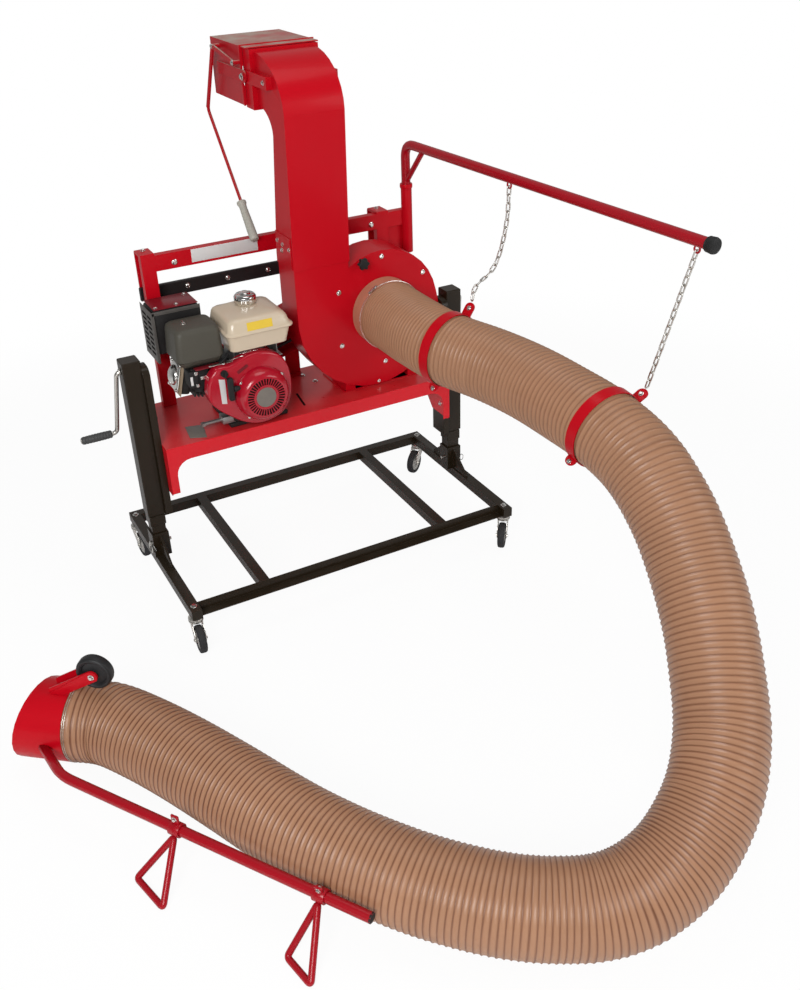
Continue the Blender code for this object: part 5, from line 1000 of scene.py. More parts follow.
@dataclass(frozen=True)
class Boom:
    """The bent boom that carries the hose on two chains.

    Attributes:
        corner: where the post and the arm would meet.
        tip: the arm's far end.
        foot_z: the boom's lowest point.
        socket_top: height of its socket's top.
        radius: the tube's radius.
        eyes: shares of the arm at which the chains hang.
        wire: radius of a chain's wire.
        pitch: a link's length along the chain.
        width: a link's width between wire middles.
    """

    corner: Triple = (0.575, 0.280, 1.430)
    tip: Triple = (0.690, -1.200, 1.424)
    foot_z: float = 1.115
    socket_top: float = 1.265
    radius: float = 0.017
    eyes: Pair = (0.42, 0.975)
    wire: float = 0.0026
    pitch: float = 0.027
    width: float = 0.013

    def under(self, share: float, drop: float) -> Vector:
        """The point at a share of the arm, a drop below the tube's underside."""
        return Vector(self.corner).lerp(Vector(self.tip), share) - Vector((0, 0, self.radius + drop))

    def build(self) -> None:
        """Make the tube, its brace, eyes, cap and locking ring."""
        corner, tip = Vector(self.corner), Vector(self.tip)
        x, y, _ = corner
        along = (tip - corner).normalized()
        post = Vector((x, y, self.foot_z))
        brace = [Vector((x, y, self.socket_top + 0.020)), corner + along * 0.125]
        route = rounded([post, corner, tip], 0.055, 14)
        shapes = [welded(tube(route, self.radius, 6)), welded(tube(brace, 0.010, 4))]
        for share in self.eyes:
            centre = self.under(share, 0.007)
            ring = [centre + 0.010 * (a * along + b * Vector(UP)) for a, b in around(24)]
            shapes.append(tube(ring, 0.003, 3, True))
        piece("boom_bent_tube", shapes, Coat.RED_SHADED_TUBE, "boom", "boom", 50)
        cap = [
            (0, 0), (0, 0.0215), (0.002, 0.0225), (0.004, 0.0215), (0.006, 0.0225), (0.020, 0.0238), (0.026, 0.022),
            (0.029, 0.016), (0.030, 0.008), (0.030, 0),
        ]
        piece("boom_end_cap", [turned(tip + along * 0.0003, along, cap)], Coat.RUBBER, "boom", "boom_cap")
        ring = [(0, 0.0175), (0, 0.0230), (0.003, 0.0240), (0.013, 0.0240), (0.016, 0.0230), (0.016, 0.0175)]
        piece("boom_stop_ring", [turned((x, y, self.socket_top + 0.001), UP, ring)], Coat.RED, "boom")

    def link(self, start: Vector, end: Vector, turn: float) -> Shape:
        """One link between two points, its plane turned about its length."""
        along = (end - start).normalized()
        reference = Vector(RIGHT) if abs(along.x) < 0.9 else Vector(BACKWARD)
        side = Matrix.Rotation(turn, 3, along) @ along.cross(reference).normalized()
        straight = (end - start).length / 2 - self.width / 2 + self.wire * 0.9
        middle = (start + end) / 2
        loop = []
        for sign, first in ((1, -90), (-1, 90)):
            for reach, offset in arc((sign * straight, 0), (self.width / 2, self.width / 2), first, first + 180, 6):
                loop.append(middle + along * reach + side * offset)
        return tube(loop, self.wire, 2, True)

    def chains(self, lugs: Sequence[Vector]) -> None:
        """Both chains, which follow the boom at their tops and the hose's rings at their feet.

        Args:
            lugs: the hose rings' lug points, the inner one first.
        """
        tops = [self.under(share, 0.0112) for share in self.eyes]
        above = Vector((0, 0, self.wire * 2 + 0.004))
        slack = [
            tops[0],
            tops[0] + Vector((-0.006, 0.004, -0.13)),
            tops[0] + Vector((-0.030, 0.030, -0.27)),
            lugs[0] + Vector((0.020, 0.010, 0.050)),
            lugs[0] + above,
        ]
        for name, points in (("chain_inner", smooth(slack, 12)), ("chain_outer", [tops[1], lugs[1] + above])):
            spots = Route(points).sample(self.pitch)
            links = [self.link(a, b, math.pi / 2 * ((i + 1) % 2)) for i, (a, b) in enumerate(zip(spots, spots[1:]))]
            made = as_object(f"{name}_links", links, Coat.ZINC, sharp=60)
            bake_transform(made)
            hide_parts(name)


# --- Suction hose, rings and nozzle ------------------------------------------


HOSE_ROUTE = (
    (0.331, -0.0165, 0.910), (0.331, -0.110, 0.910), (0.340, -0.225, 0.904), (0.368, -0.376, 0.893),
    (0.430, -0.545, 0.884), (0.470, -0.708, 0.876), (0.487, -0.880, 0.869), (0.498, -1.056, 0.858),
    (0.507, -1.225, 0.816), (0.498, -1.378, 0.733), (0.472, -1.507, 0.640), (0.428, -1.635, 0.545),
    (0.374, -1.745, 0.452), (0.316, -1.838, 0.372), (0.239, -1.915, 0.302), (0.155, -1.964, 0.242),
    (0.048, -1.998, 0.188), (-0.064, -2.000, 0.150), (-0.160, -1.974, 0.130), (-0.250, -1.928, 0.1256),
    (-0.333, -1.872, 0.1256), (-0.415, -1.798, 0.1256), (-0.510, -1.690, 0.1256), (-0.600, -1.562, 0.1256),
    (-0.672, -1.440, 0.1256), (-0.729, -1.325, 0.1256), (-0.806, -1.146, 0.1256), (-0.886, -0.972, 0.1256),
    (-0.960, -0.832, 0.1256), (-1.030, -0.724, 0.1256), (-1.108, -0.658, 0.1256),
)


# Distance along the hose, turns of its wire in a metre there, and how clearly they show
WINDING = (
    (0.00, 80.0, 0.35), (0.20, 76.0, 0.35), (0.45, 58.0, 0.22), (0.73, 49.0, 0.36), (1.00, 52.0, 0.50),
    (1.20, 54.0, 0.40), (1.45, 53.0, 0.62), (2.00, 54.0, 0.74), (2.40, 66.0, 0.95), (2.75, 64.0, 0.76),
    (3.05, 60.0, 0.80), (3.70, 55.0, 1.00), (4.30, 53.0, 0.95),
)


@dataclass(frozen=True)
class SuctionHose:
    """The ribbed hose from the fan's spigot to the nozzle, with a wire that winds round it.

    Attributes:
        crest: radius over the wire.
        film: radius of the film between turns.
        bore: inner radius.
        rings: rings of points for each turn.
        resolution: bevel resolution of both walls.
        steps: points between two knots of the route.
        bore_steps: steps of the bore.
        plain: turns at each end that the wire leaves plain.
        powers: how narrow a turn's ridge and its dark line are.
        near: distance within which a boundary edge belongs to the fan's end.
    """

    crest: float = 0.1248
    film: float = 0.1220
    bore: float = 0.1120
    rings: int = 8
    resolution: int = 18
    steps: int = 8
    bore_steps: int = 160
    plain: float = 0.75
    powers: tuple[int, int] = (6, 14)
    near: float = 0.4

    @property
    def points(self) -> list[Vector]:
        """The smooth middle line."""
        return smooth(HOSE_ROUTE, self.steps)

    def winding(self, distance: float) -> Pair:
        """Turns of the wire in a metre, and how clearly they show, at a distance along the hose."""
        for before, after in zip(WINDING, WINDING[1:]):
            if distance <= after[0]:
                share = (distance - before[0]) / (after[0] - before[0])
                return before[1] + (after[1] - before[1]) * share, before[2] + (after[2] - before[2]) * share
        return WINDING[-1][1:]

    def build(self) -> None:
        """Make the hose as one wound tube with its bore, bent between the trolley and the lifting part."""
        line = Route(self.points)
        reach = [0.0]
        while reach[-1] < line.length:
            reach.append(reach[-1] + 1.0 / (self.winding(reach[-1])[0] * self.rings))
        reach = [distance * line.length / reach[-1] for distance in reach]
        spots = [line.at(distance) for distance in reach]
        clear = [self.winding(distance)[1] for distance in reach]
        outer = tube(spots, 1.0, self.resolution, capped=False)
        outer.verts.ensure_lookup_table()
        sides = len(outer.verts) // len(spots)
        rib = outer.verts.layers.float.new("rib")
        ridge, line_power = self.powers
        for index, vert in enumerate(outer.verts):
            ring, side = divmod(index, sides)
            wave = abs(math.cos(math.pi * (ring / self.rings + side / sides)))
            wound = min(ring, len(spots) - 1 - ring) / self.rings > self.plain
            radius = self.film + (self.crest - self.film) * (wave**ridge if wound else 0.5)
            vert.co = spots[ring] + (vert.co - spots[ring]).normalized() * radius
            vert[rib] = min(1.0, wave**line_power * 1.15) * clear[ring] if wound else 0.25
        shares = [i / self.bore_steps for i in range(self.bore_steps + 1)]
        inner = tube([line.at(line.length * share) for share in shares], self.bore, self.resolution, capped=False)
        bmesh.ops.reverse_faces(inner, faces=inner.faces)
        made = self.joined(outer, inner)
        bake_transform(made)
        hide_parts("hose_lower", "hose_upper")

    def joined(self, outer: Shape, inner: Shape) -> bpy.types.Object:
        """Put the two walls in one mesh and close them at both ends.

        Args:
            outer: the wound outside.
            inner: the plain bore, faces turned to the middle line.

        Returns:
            The hose's object.
        """
        made = as_object("suction_hose_wound", [outer, inner], Coat.HOSE, sharp=80)
        shape = bmesh.new()
        shape.from_mesh(made.data)
        start = Vector(HOSE_ROUTE[0]) + SHIFT
        ends = ([], [])
        for edge in shape.edges:
            if edge.is_boundary:
                ends[(edge.verts[0].co - start).length >= self.near].append(edge)
        for chosen in ends:
            bmesh.ops.bridge_loops(shape, edges=chosen)
        shape.to_mesh(made.data)
        shape.free()
        return made


@dataclass(frozen=True)
class HoseRing:
    """A painted two-part band round the hose, with bolted lugs.

    Attributes:
        name: the CAD node's name.
        knot: the route knot that it stands at.
        lug_angle: the angle of the lug that the chain hooks into.
        width: the band's width.
        inner: its inner radius.
        outer: its outer radius.
        lug_reach: how far that lug stands out.
        ear_reach: how far the lug across from it does.
    """

    name: str
    knot: int
    lug_angle: float
    width: float = 0.038
    inner: float = 0.1265
    outer: float = 0.1295
    lug_reach: float = 0.046
    ear_reach: float = 0.024

    def axes(self) -> tuple[Vector, Vector, Vector, Vector]:
        """The ring's centre, its axis, and level and upward directions square to that."""
        hose = SuctionHose()
        before, centre, after = hose.points[self.knot * hose.steps - 1:self.knot * hose.steps + 2]
        along = (after - before).normalized()
        level = Vector(UP).cross(along).normalized()
        level = -level if level.x < 0 else level
        upward = level.cross(along).normalized()
        upward = -upward if upward.z < 0 else upward
        return centre, along, level, upward

    def build(self) -> Vector:
        """Make the band, its lugs and their bolts.

        Returns:
            The lug point that the chain ends at.
        """
        centre, along, level, upward = self.axes()
        inner, outer, half = self.inner, self.outer, self.width / 2
        band = [(0, inner), (0, outer - 0.0006), (0.0006, outer), (self.width - 0.0006, outer)]
        band += [(self.width, outer - 0.0006), (self.width, inner)]
        shapes = [turned(centre - along * half, along, band, 96)]
        spots = []
        ends = []
        for angle, reach in ((self.lug_angle, self.lug_reach), (self.lug_angle - 172, self.ear_reach)):
            out = math.cos(math.radians(angle)) * level + math.sin(math.radians(angle)) * upward
            tangent = along.cross(out).normalized()
            place = Matrix.Translation(centre) @ Matrix((out, tangent, along)).transposed().to_4x4()
            far = outer + reach - half * 0.9
            tip = arc((far, 0), (half * 0.9, half), -90, 90, 12)
            eye = [(inner + 0.001, -half), (far, -half), *tip, (far, half), (inner + 0.001, half)]
            for layer in (-0.0031, 0.0003):
                shapes.append(moved(plate(eye, 1, layer, layer + 0.0028, 0.0006), place))
            for side in (1, -1):
                spots.append((place @ Vector((outer + reach * 0.55, side * 0.0031, 0)), side * tangent, 0.0062))
            ends.append(centre + out * (outer + reach))
        piece(f"{self.name}_band", shapes, Coat.RED, MACHINE, self.name)
        bolts(f"{self.name}_bolts", spots)
        return ends[0]


@dataclass(frozen=True)
class Nozzle:
    """The oblique suction mouth with its clamp, wheel fork and wheel.

    Attributes:
        radius: the mouth's radius.
        cut: the mouth's cut, as its distance out and its rise and side slopes.
        cut_from: distance out from which a point belongs to the cut.
        wheel_arm: the wheel's axle in the nozzle's frame, out and up.
    """

    radius: float = 0.125
    cut: Triple = (0.133, -0.022, 0.025)
    cut_from: float = 0.090
    wheel_arm: Pair = (-0.088, 0.203)

    @property
    def frame(self) -> Matrix:
        """The frame at the hose's end, +X out of the mouth."""
        before, end = SuctionHose().points[-2:]
        return Matrix.Translation(end) @ Matrix.Rotation(math.atan2(end.y - before.y, end.x - before.x), 4, "Z")

    def build(self) -> None:
        """Dress the mouth and build its clamp and wheel."""
        self.mouth(refined("nozzle", Coat.RED, 0.0010))
        place, r = self.frame, self.radius
        loop = [((r - 0.0004) * a, (r - 0.0004) * b) for a, b in around(96)]
        wires = [moved(tube([(x, *spot) for spot in loop], 0.0009, 2, True), place) for x in (-0.010, -0.004)]
        low = place @ about("X", 118)
        screw = [
            moved(block((-0.013, -0.010, r + 0.0010), (-0.001, 0.010, r + 0.010), 0.002), low),
            moved(rod((-0.007, -0.018, r + 0.006), (-0.007, 0.018, r + 0.006), 0.003, 12), low),
        ]
        piece("hose_wire_clamp", [*wires, *screw], Coat.ZINC, TROLLEY)
        cheek = [*arc(self.wheel_arm, (0.019, 0.019), 40, 220, 10), (0.014, 0.122), (0.062, 0.122)]
        plates = [moved(plate(cheek, 1, *sorted((y * 0.0272, y * 0.0290)), 0.0005), place) for y in (-1, 1)]
        piece("nozzle_bracket_cheeks", plates, Coat.RED, TROLLEY)
        self.wheel()

    def mouth(self, made: bpy.types.Object) -> None:
        """Turn the mouth's cut a little towards the ground side, as its sheet is on the real one.

        Args:
            made: the dressed nozzle.
        """
        middle, rise, side = self.cut
        back = self.frame.inverted()
        for vert in made.data.vertices:
            spot = back @ (vert.co - SHIFT)
            out = math.hypot(spot.y, spot.z)
            if spot.x > self.cut_from and out > self.radius * 0.92:
                spot.x = middle + rise * spot.z / out + side * spot.y / out
                vert.co = self.frame @ spot + SHIFT

    def wheel(self) -> None:
        """The small wheel over the hose, with its centre and axle nuts."""
        place = self.frame
        x, z = self.wheel_arm
        start = (x, -0.019, z)
        tyre = [
            (0.007, 0.040), (0.003, 0.043), (0.002, 0.048), (0.005, 0.053), (0.010, 0.0548), (0.028, 0.0548),
            (0.033, 0.053), (0.036, 0.048), (0.035, 0.043), (0.031, 0.040),
        ]
        centre = [
            (0, 0.0055), (0, 0.013), (0.006, 0.015), (0.011, 0.036), (0.006, 0.040), (0.006, 0.0415), (0.032, 0.0415),
            (0.032, 0.040), (0.027, 0.036), (0.032, 0.015), (0.038, 0.013), (0.038, 0.0055),
        ]
        tyre_shape, centre_shape = turned(start, BACKWARD, tyre, 64), turned(start, BACKWARD, centre)
        node = "nozzle_wheel"
        piece("nozzle_wheel_tyre", [moved(tyre_shape, place)], Coat.DARK_WHEEL, node, node, 50)
        piece("nozzle_wheel_centre", [moved(centre_shape, place)], Coat.DARK_WHEEL, node)
        turn = place.to_3x3()
        nuts = [(place @ Vector((x, side * 0.0292, z)), turn @ Vector((0, side, 0)), 0.0072) for side in (-1, 1)]
        bolts("nozzle_axle_nuts", nuts, TROLLEY)


@dataclass(frozen=True)
class CarryingHandles:
    """The bar beside the hose and the two triangular handles clamped on it.

    Attributes:
        bar_radius: the bar's radius.
        rod_radius: a handle's radius.
        seat: distance of a loop's seat from the bar's middle.
        route: the bar's corners.
        spots: of each handle, its word, its place along the bar, its loop's two far corners
            seen from above, its clamp ear's height, and how far the ear leans away from the
            hose, in degrees, so that it folds clear of it.
    """

    bar_radius: float = 0.015
    rod_radius: float = 0.0092
    seat: float = 0.021
    route: tuple[Point, ...] = ((-1.232, -0.694, 0.118), (-1.213, -0.876, 0.140), (-0.664, -1.733, 0.140))
    spots: tuple[tuple[str, float, Pair, Pair, float, float], ...] = (
        ("near", 0.416, (-1.115, -1.215), (-1.083, -1.342), 0.034, 0.0),
        ("far", 0.870, (-0.859, -1.636), (-0.839, -1.735), 0.024, 14.0),
    )

    def build(self) -> None:
        """Dress the bar and build both handles, and the plug in the bar's end."""
        refined("handle_bar", Coat.RED_SHADED_TUBE, 0.0, 45)
        bend, end = Vector(self.route[1]), Vector(self.route[2])
        along = (end - bend).normalized()
        for word, reach, first, second, ear, lean in self.spots:
            self.handle(word, bend + along * reach, along, [first, second], ear, lean)
        plug = [(0, 0), (0, 0.0145), (0.002, 0.0150), (0.004, 0.0140), (0.0045, 0)]
        piece("bar_end_plug", [turned(end - along * 0.004, along, plug, 32)], Coat.RUBBER, TROLLEY)

    def handle(self, word: str, centre: Vector, along: Vector, far: list[Pair], ear: float, lean: float) -> None:
        """One handle: a split clamp and a bent loop.

        Args:
            word: near or far.
            centre: the clamp's middle on the bar.
            along: the bar's direction.
            far: the loop's two far corners, seen from above.
            ear: height of the clamp's ear.
            lean: the ear's lean in degrees.
        """
        inner = self.bar_radius + 0.0003
        outer = inner + 0.005
        ring = [(0, inner), (0, outer - 0.0005), (0.0006, outer), (0.0334, outer), (0.034, outer - 0.0005)]
        corners = [Vector((*spot, self.rod_radius + 0.0006)) for spot in far]
        out = (corners[0] + corners[1]) / 2 - centre
        out = (out - along * out.dot(along)).normalized()
        seat = centre + out * self.seat
        loop = rounded([corners[1], seat, *corners, seat], 0.012)[1:-1]
        across = Matrix.Rotation(math.atan2(along.y, along.x) + math.pi / 2, 4, "Z")
        place = Matrix.Translation(centre) @ about(along, lean) @ across
        shapes = [
            turned(centre - along * 0.017, along, [*ring, (0.034, inner)], 48),
            tube(loop, self.rod_radius, 4, True),
            moved(block((-0.003, -0.012, inner + 0.001), (0.003, 0.012, inner + ear), 0.0012), place),
        ]
        body = f"handle_{word}"
        piece(f"carrying_handle_{word}", shapes, Coat.RED_SHADED_TUBE, body, body, 50)
        turn = place.to_3x3()
        seats = [(place @ Vector((x, 0, inner + ear - 0.012)), turn @ Vector(way), 0.006)
                 for x, way in ((-0.003, LEFT), (0.003, RIGHT))]
        bolts(f"clamp_bolt_{word}", seats, body)


# --- Fan, belt drive, chute and hood -----------------------------------------


@dataclass(frozen=True)
class Fan:
    """The fan's scroll with its front plate, spigot, knob, bearing, rotor and belt guard.

    Attributes:
        x: the rotor's place, left to right.
        z: its height.
        front: the front plate's face.
        back: the housing's back face.
        bolt_radius: distance of the front plate's bolts from the rotor's axis.
        bolt_angles: their angles in degrees.
        spigot: the spigot's outer radius.
        cuff: inner radius of the hose's clear end.
        cuff_reach: its length.
        screw_angle: the angle of the wire clamp's screw in degrees.
    """

    x: float = 0.331
    z: float = 0.910
    front: float = 0.030
    back: float = 0.170
    bolt_radius: float = 0.203
    bolt_angles: tuple[float, ...] = (90, 34, -30, -90, -150, 150)
    spigot: float = 0.116
    cuff: float = 0.1250
    cuff_reach: float = 0.0660
    screw_angle: float = 122.0

    def build(self) -> None:
        """Dress the housing and build what is bolted on it."""
        for node, coat, edge in (
            ("fan_housing", Coat.RED, 0.0012), ("fan_front_plate", Coat.RED, 0.0010),
            ("fan_bearing", Coat.ALLOY, 0.0008), ("belt_guard", Coat.RED, 0.0014), ("drive_belt", Coat.BELT, 0.0),
            ("fan_pulley", Coat.ALLOY, 0.0006), ("engine_pulley", Coat.ALLOY, 0.0006),
            ("fan_shaft", Coat.ZINC, 0.0006), ("crankshaft", Coat.ZINC, 0.0006), ("impeller", Coat.BLACK, 0.0008),
        ):
            refined(node, coat, edge)
        rim = on_circle((self.x, self.front, self.z), self.bolt_radius, self.bolt_angles)
        spots = [(at, FORWARD, 0.0068) for at in rim]
        bolts("fan_plate_bolts", [*spots, ((0.300, self.front, 0.631), FORWARD, 0.0055)])
        bearing = on_circle((self.x, self.back + 0.0103, self.z), 0.050, (45, 135, 225, 315))
        guard = ((-0.225, 0.700), (-0.185, 0.797), (0.331, 0.985), (0.318, 0.838))
        spots = [(at, BACKWARD, 0.0060) for at in bearing]
        bolts("drive_side_bolts", spots + [((x, 0.302, z), BACKWARD, 0.0068) for x, z in guard])
        self.clamp()
        self.knob()

    def clamp(self) -> None:
        """The hose's pinched clear end over the spigot, with its wire clamp and screw."""
        r, reach = self.cuff, self.cuff_reach
        skin = [(reach * i / 44, r + 0.0014 + 0.0005 * math.cos(math.tau * i / 4)) for i in range(45)]
        start = (self.x, self.front - 0.068, self.z)
        piece("hose_clear_end", [turned(start, BACKWARD, [(0, r), *skin, (reach, r)], 96)], Coat.CUFF)
        y, r = self.front - 0.061, r + 0.003
        wire = tube([(self.x + r * a, y, self.z + r * b) for a, b in around(96)], 0.0012, 2, True)
        angle = math.radians(self.screw_angle)
        out = Vector((math.cos(angle), 0, math.sin(angle)))
        place = Matrix.Translation(Vector((self.x, y, self.z)) + out * r) @ turn_to(out)
        housing = moved(block((-0.006, -0.012, 0.0), (0.006, 0.012, 0.007), 0.0015), place)
        screw = moved(rod((0, -0.022, 0.005), (0, 0.018, 0.005), 0.0036, 16), place)
        piece("hose_clamp_at_fan", [wire, housing, screw], Coat.BRIGHT)
        inner, outer = self.spigot - 0.004, self.spigot + 0.001
        lip = [(0, inner), (0, outer), (0.004, outer), (0.004, inner)]
        piece("spigot_lip", [turned((self.x, self.front - 0.044, self.z), BACKWARD, lip, 96)], Coat.RED)

    def knob(self) -> None:
        """The six-lobed clamping knob on its stud."""
        x, z = self.x - 0.086, self.z + 0.199
        start = self.front - 0.0003
        lobes = []
        for i, (a, b) in enumerate(around(72)):
            r = 0.0187 + 0.0030 * math.cos(6 * math.tau * i / 72)
            lobes.append((x + r * a, z + r * b))
        neck = [(0.010, 0), (0.010, 0.0095), (0.017, 0.0110), (0.020, 0.0110), (0.020, 0)]
        shapes = [plate(lobes, 1, start - 0.036, start - 0.019, 0.0016), turned((x, start, z), FORWARD, neck, 40)]
        piece("clamping_star_knob", shapes, Coat.RUBBER, "star_knob", "star_knob", 50)
        piece("star_knob_stud", [rod((x, start, z), (x, start - 0.012, z), 0.0048, 20)], Coat.BRIGHT, "star_knob")


@dataclass(frozen=True)
class Chute:
    """The bent discharge duct with its outlet sleeve and bolts.

    Attributes:
        left: the duct's left face.
        right: its right face.
        sleeve: the sleeve's left, right, lower and upper faces.
        sleeve_y: its front and back.
        sheet: its thickness.
    """

    left: float = -0.012
    right: float = 0.203
    sleeve: tuple[float, float, float, float] = (-0.0275, 0.2185, 1.6285, 1.8165)
    sleeve_y: Pair = (0.2177, 0.2810)
    sheet: float = 0.002

    def build(self) -> None:
        """Dress the duct and add its outlet sleeve and bolts."""
        refined("chute", Coat.RED, 0.0012, 30)
        x0, x1, z0, z1 = self.sleeve
        y0, y1 = self.sleeve_y
        wall = self.sheet
        walls = [
            block((x0, y0, z0), (x0 + wall, y1, z1)),
            block((x1 - wall, y0, z0), (x1, y1, z1)),
            block((x0 + wall, y0, z1 - wall), (x1 - wall, y1, z1)),
            block((x0 + wall, y0, z0), (x1 - wall, y1, z0 + wall)),
        ]
        piece("outlet_sleeve", walls, Coat.RED)
        sides = ((self.left, -1, LEFT), (self.right, 1, RIGHT))
        joint = ((0.045, 1.195), (0.100, 1.200), (0.145, 1.205))
        spots = [((x + out * 0.003, *spot), way, 0.0058) for spot in joint for x, out, way in sides]
        spots.append(((self.left - 0.003, 0.108, 1.178), LEFT, 0.0065))
        bolts("chute_bolts", spots + [((x + out * 0.020, 0.105, 1.730), way, 0.0060) for x, out, way in sides])


@dataclass(frozen=True)
class Hood:
    """The tilting outlet hood with its lever rod and grip.

    Attributes:
        left: the hood's left face.
        right: its right face.
        front: its front edge.
        back: its back edge.
        top: height of its upper side.
        bottom: height of its lower edge.
        lever_x: place of the lever rod, left to right.
        grip_end: the grip's free end.
        grip_length: its length.
    """

    left: float = -0.0351
    right: float = 0.2261
    front: float = 0.272
    back: float = 0.560
    top: float = 1.822
    bottom: float = 1.635
    lever_x: float = -0.060
    grip_end: Triple = (-0.060, 0.250, 1.185)
    grip_length: float = 0.150

    def build(self) -> None:
        """Dress the cover, and add its seams, lips and pivot nuts, and its grip."""
        left, right, front, top, low = self.left, self.right, self.front, self.top, self.bottom + 0.002
        # Its upward faces carry dust and a painted reflection of the ceiling.
        refined("hood", Coat.RED_SHEEN_AND_DUST_TOP, 0.0010)
        seams = [
            block((x - 0.0020, front + 0.010, low), (x, front + 0.018, top - 0.004), 0.0004)
            for x in (left + 0.0004, right + 0.0016)
        ]
        piece("hood_stiffening_seams", seams, Coat.RED, "hood")
        heights = ((low, 1.700), (1.760, top - 0.002))
        sides = ((left, left + 0.006), (right - 0.006, right))
        lips = [block((x0, front, z0), (x1, front + 0.0015, z1)) for x0, x1 in sides for z0, z1 in heights]
        piece("hood_front_lips", lips, Coat.RED, "hood")
        x = self.lever_x - 0.003
        bolts("hood_pivot_nuts", [
            ((left - 0.009, 0.258, 1.730), LEFT, 0.0085),
            ((right + 0.009, 0.258, 1.730), RIGHT, 0.0085),
            ((x, self.back - 0.088, top - 0.020), LEFT, 0.0062),
            ((x, front + 0.012, top - 0.050), LEFT, 0.0062),
        ], "hood")
        self.grip()

    def grip(self) -> None:
        """The long pale grip with its end button and shallow rings."""
        knee = Vector((self.lever_x, self.back + 0.036, self.bottom - 0.056))
        end = Vector(self.grip_end)
        length = self.grip_length
        start = end + (knee - end).normalized() * length
        profile = [(0, 0.0064), (0, 0.0165), (0.002, 0.0172), (0.008, 0.0172), (0.013, 0.0150), (0.018, 0.0137)]
        for i in range(7):
            at = 0.030 + 0.014 * i
            swell = 0.0137 + 0.0022 * i / 6
            ring = ((-0.003, swell), (-0.001, swell - 0.0005), (0.001, swell - 0.0005), (0.003, swell))
            profile += [(at + step, size) for step, size in ring]
        profile += [(length - 0.008, 0.0162), (length - 0.002, 0.0158), (length, 0.0138), (length, 0)]
        profile += [(length * 0.93, 0), (length * 0.93, 0.0064)]
        piece("hood_grip_moulded", [turned(start, end - start, profile, 40)], Coat.PALE, "hood", "hood_grip", 60)


# --- Engine ------------------------------------------------------------------


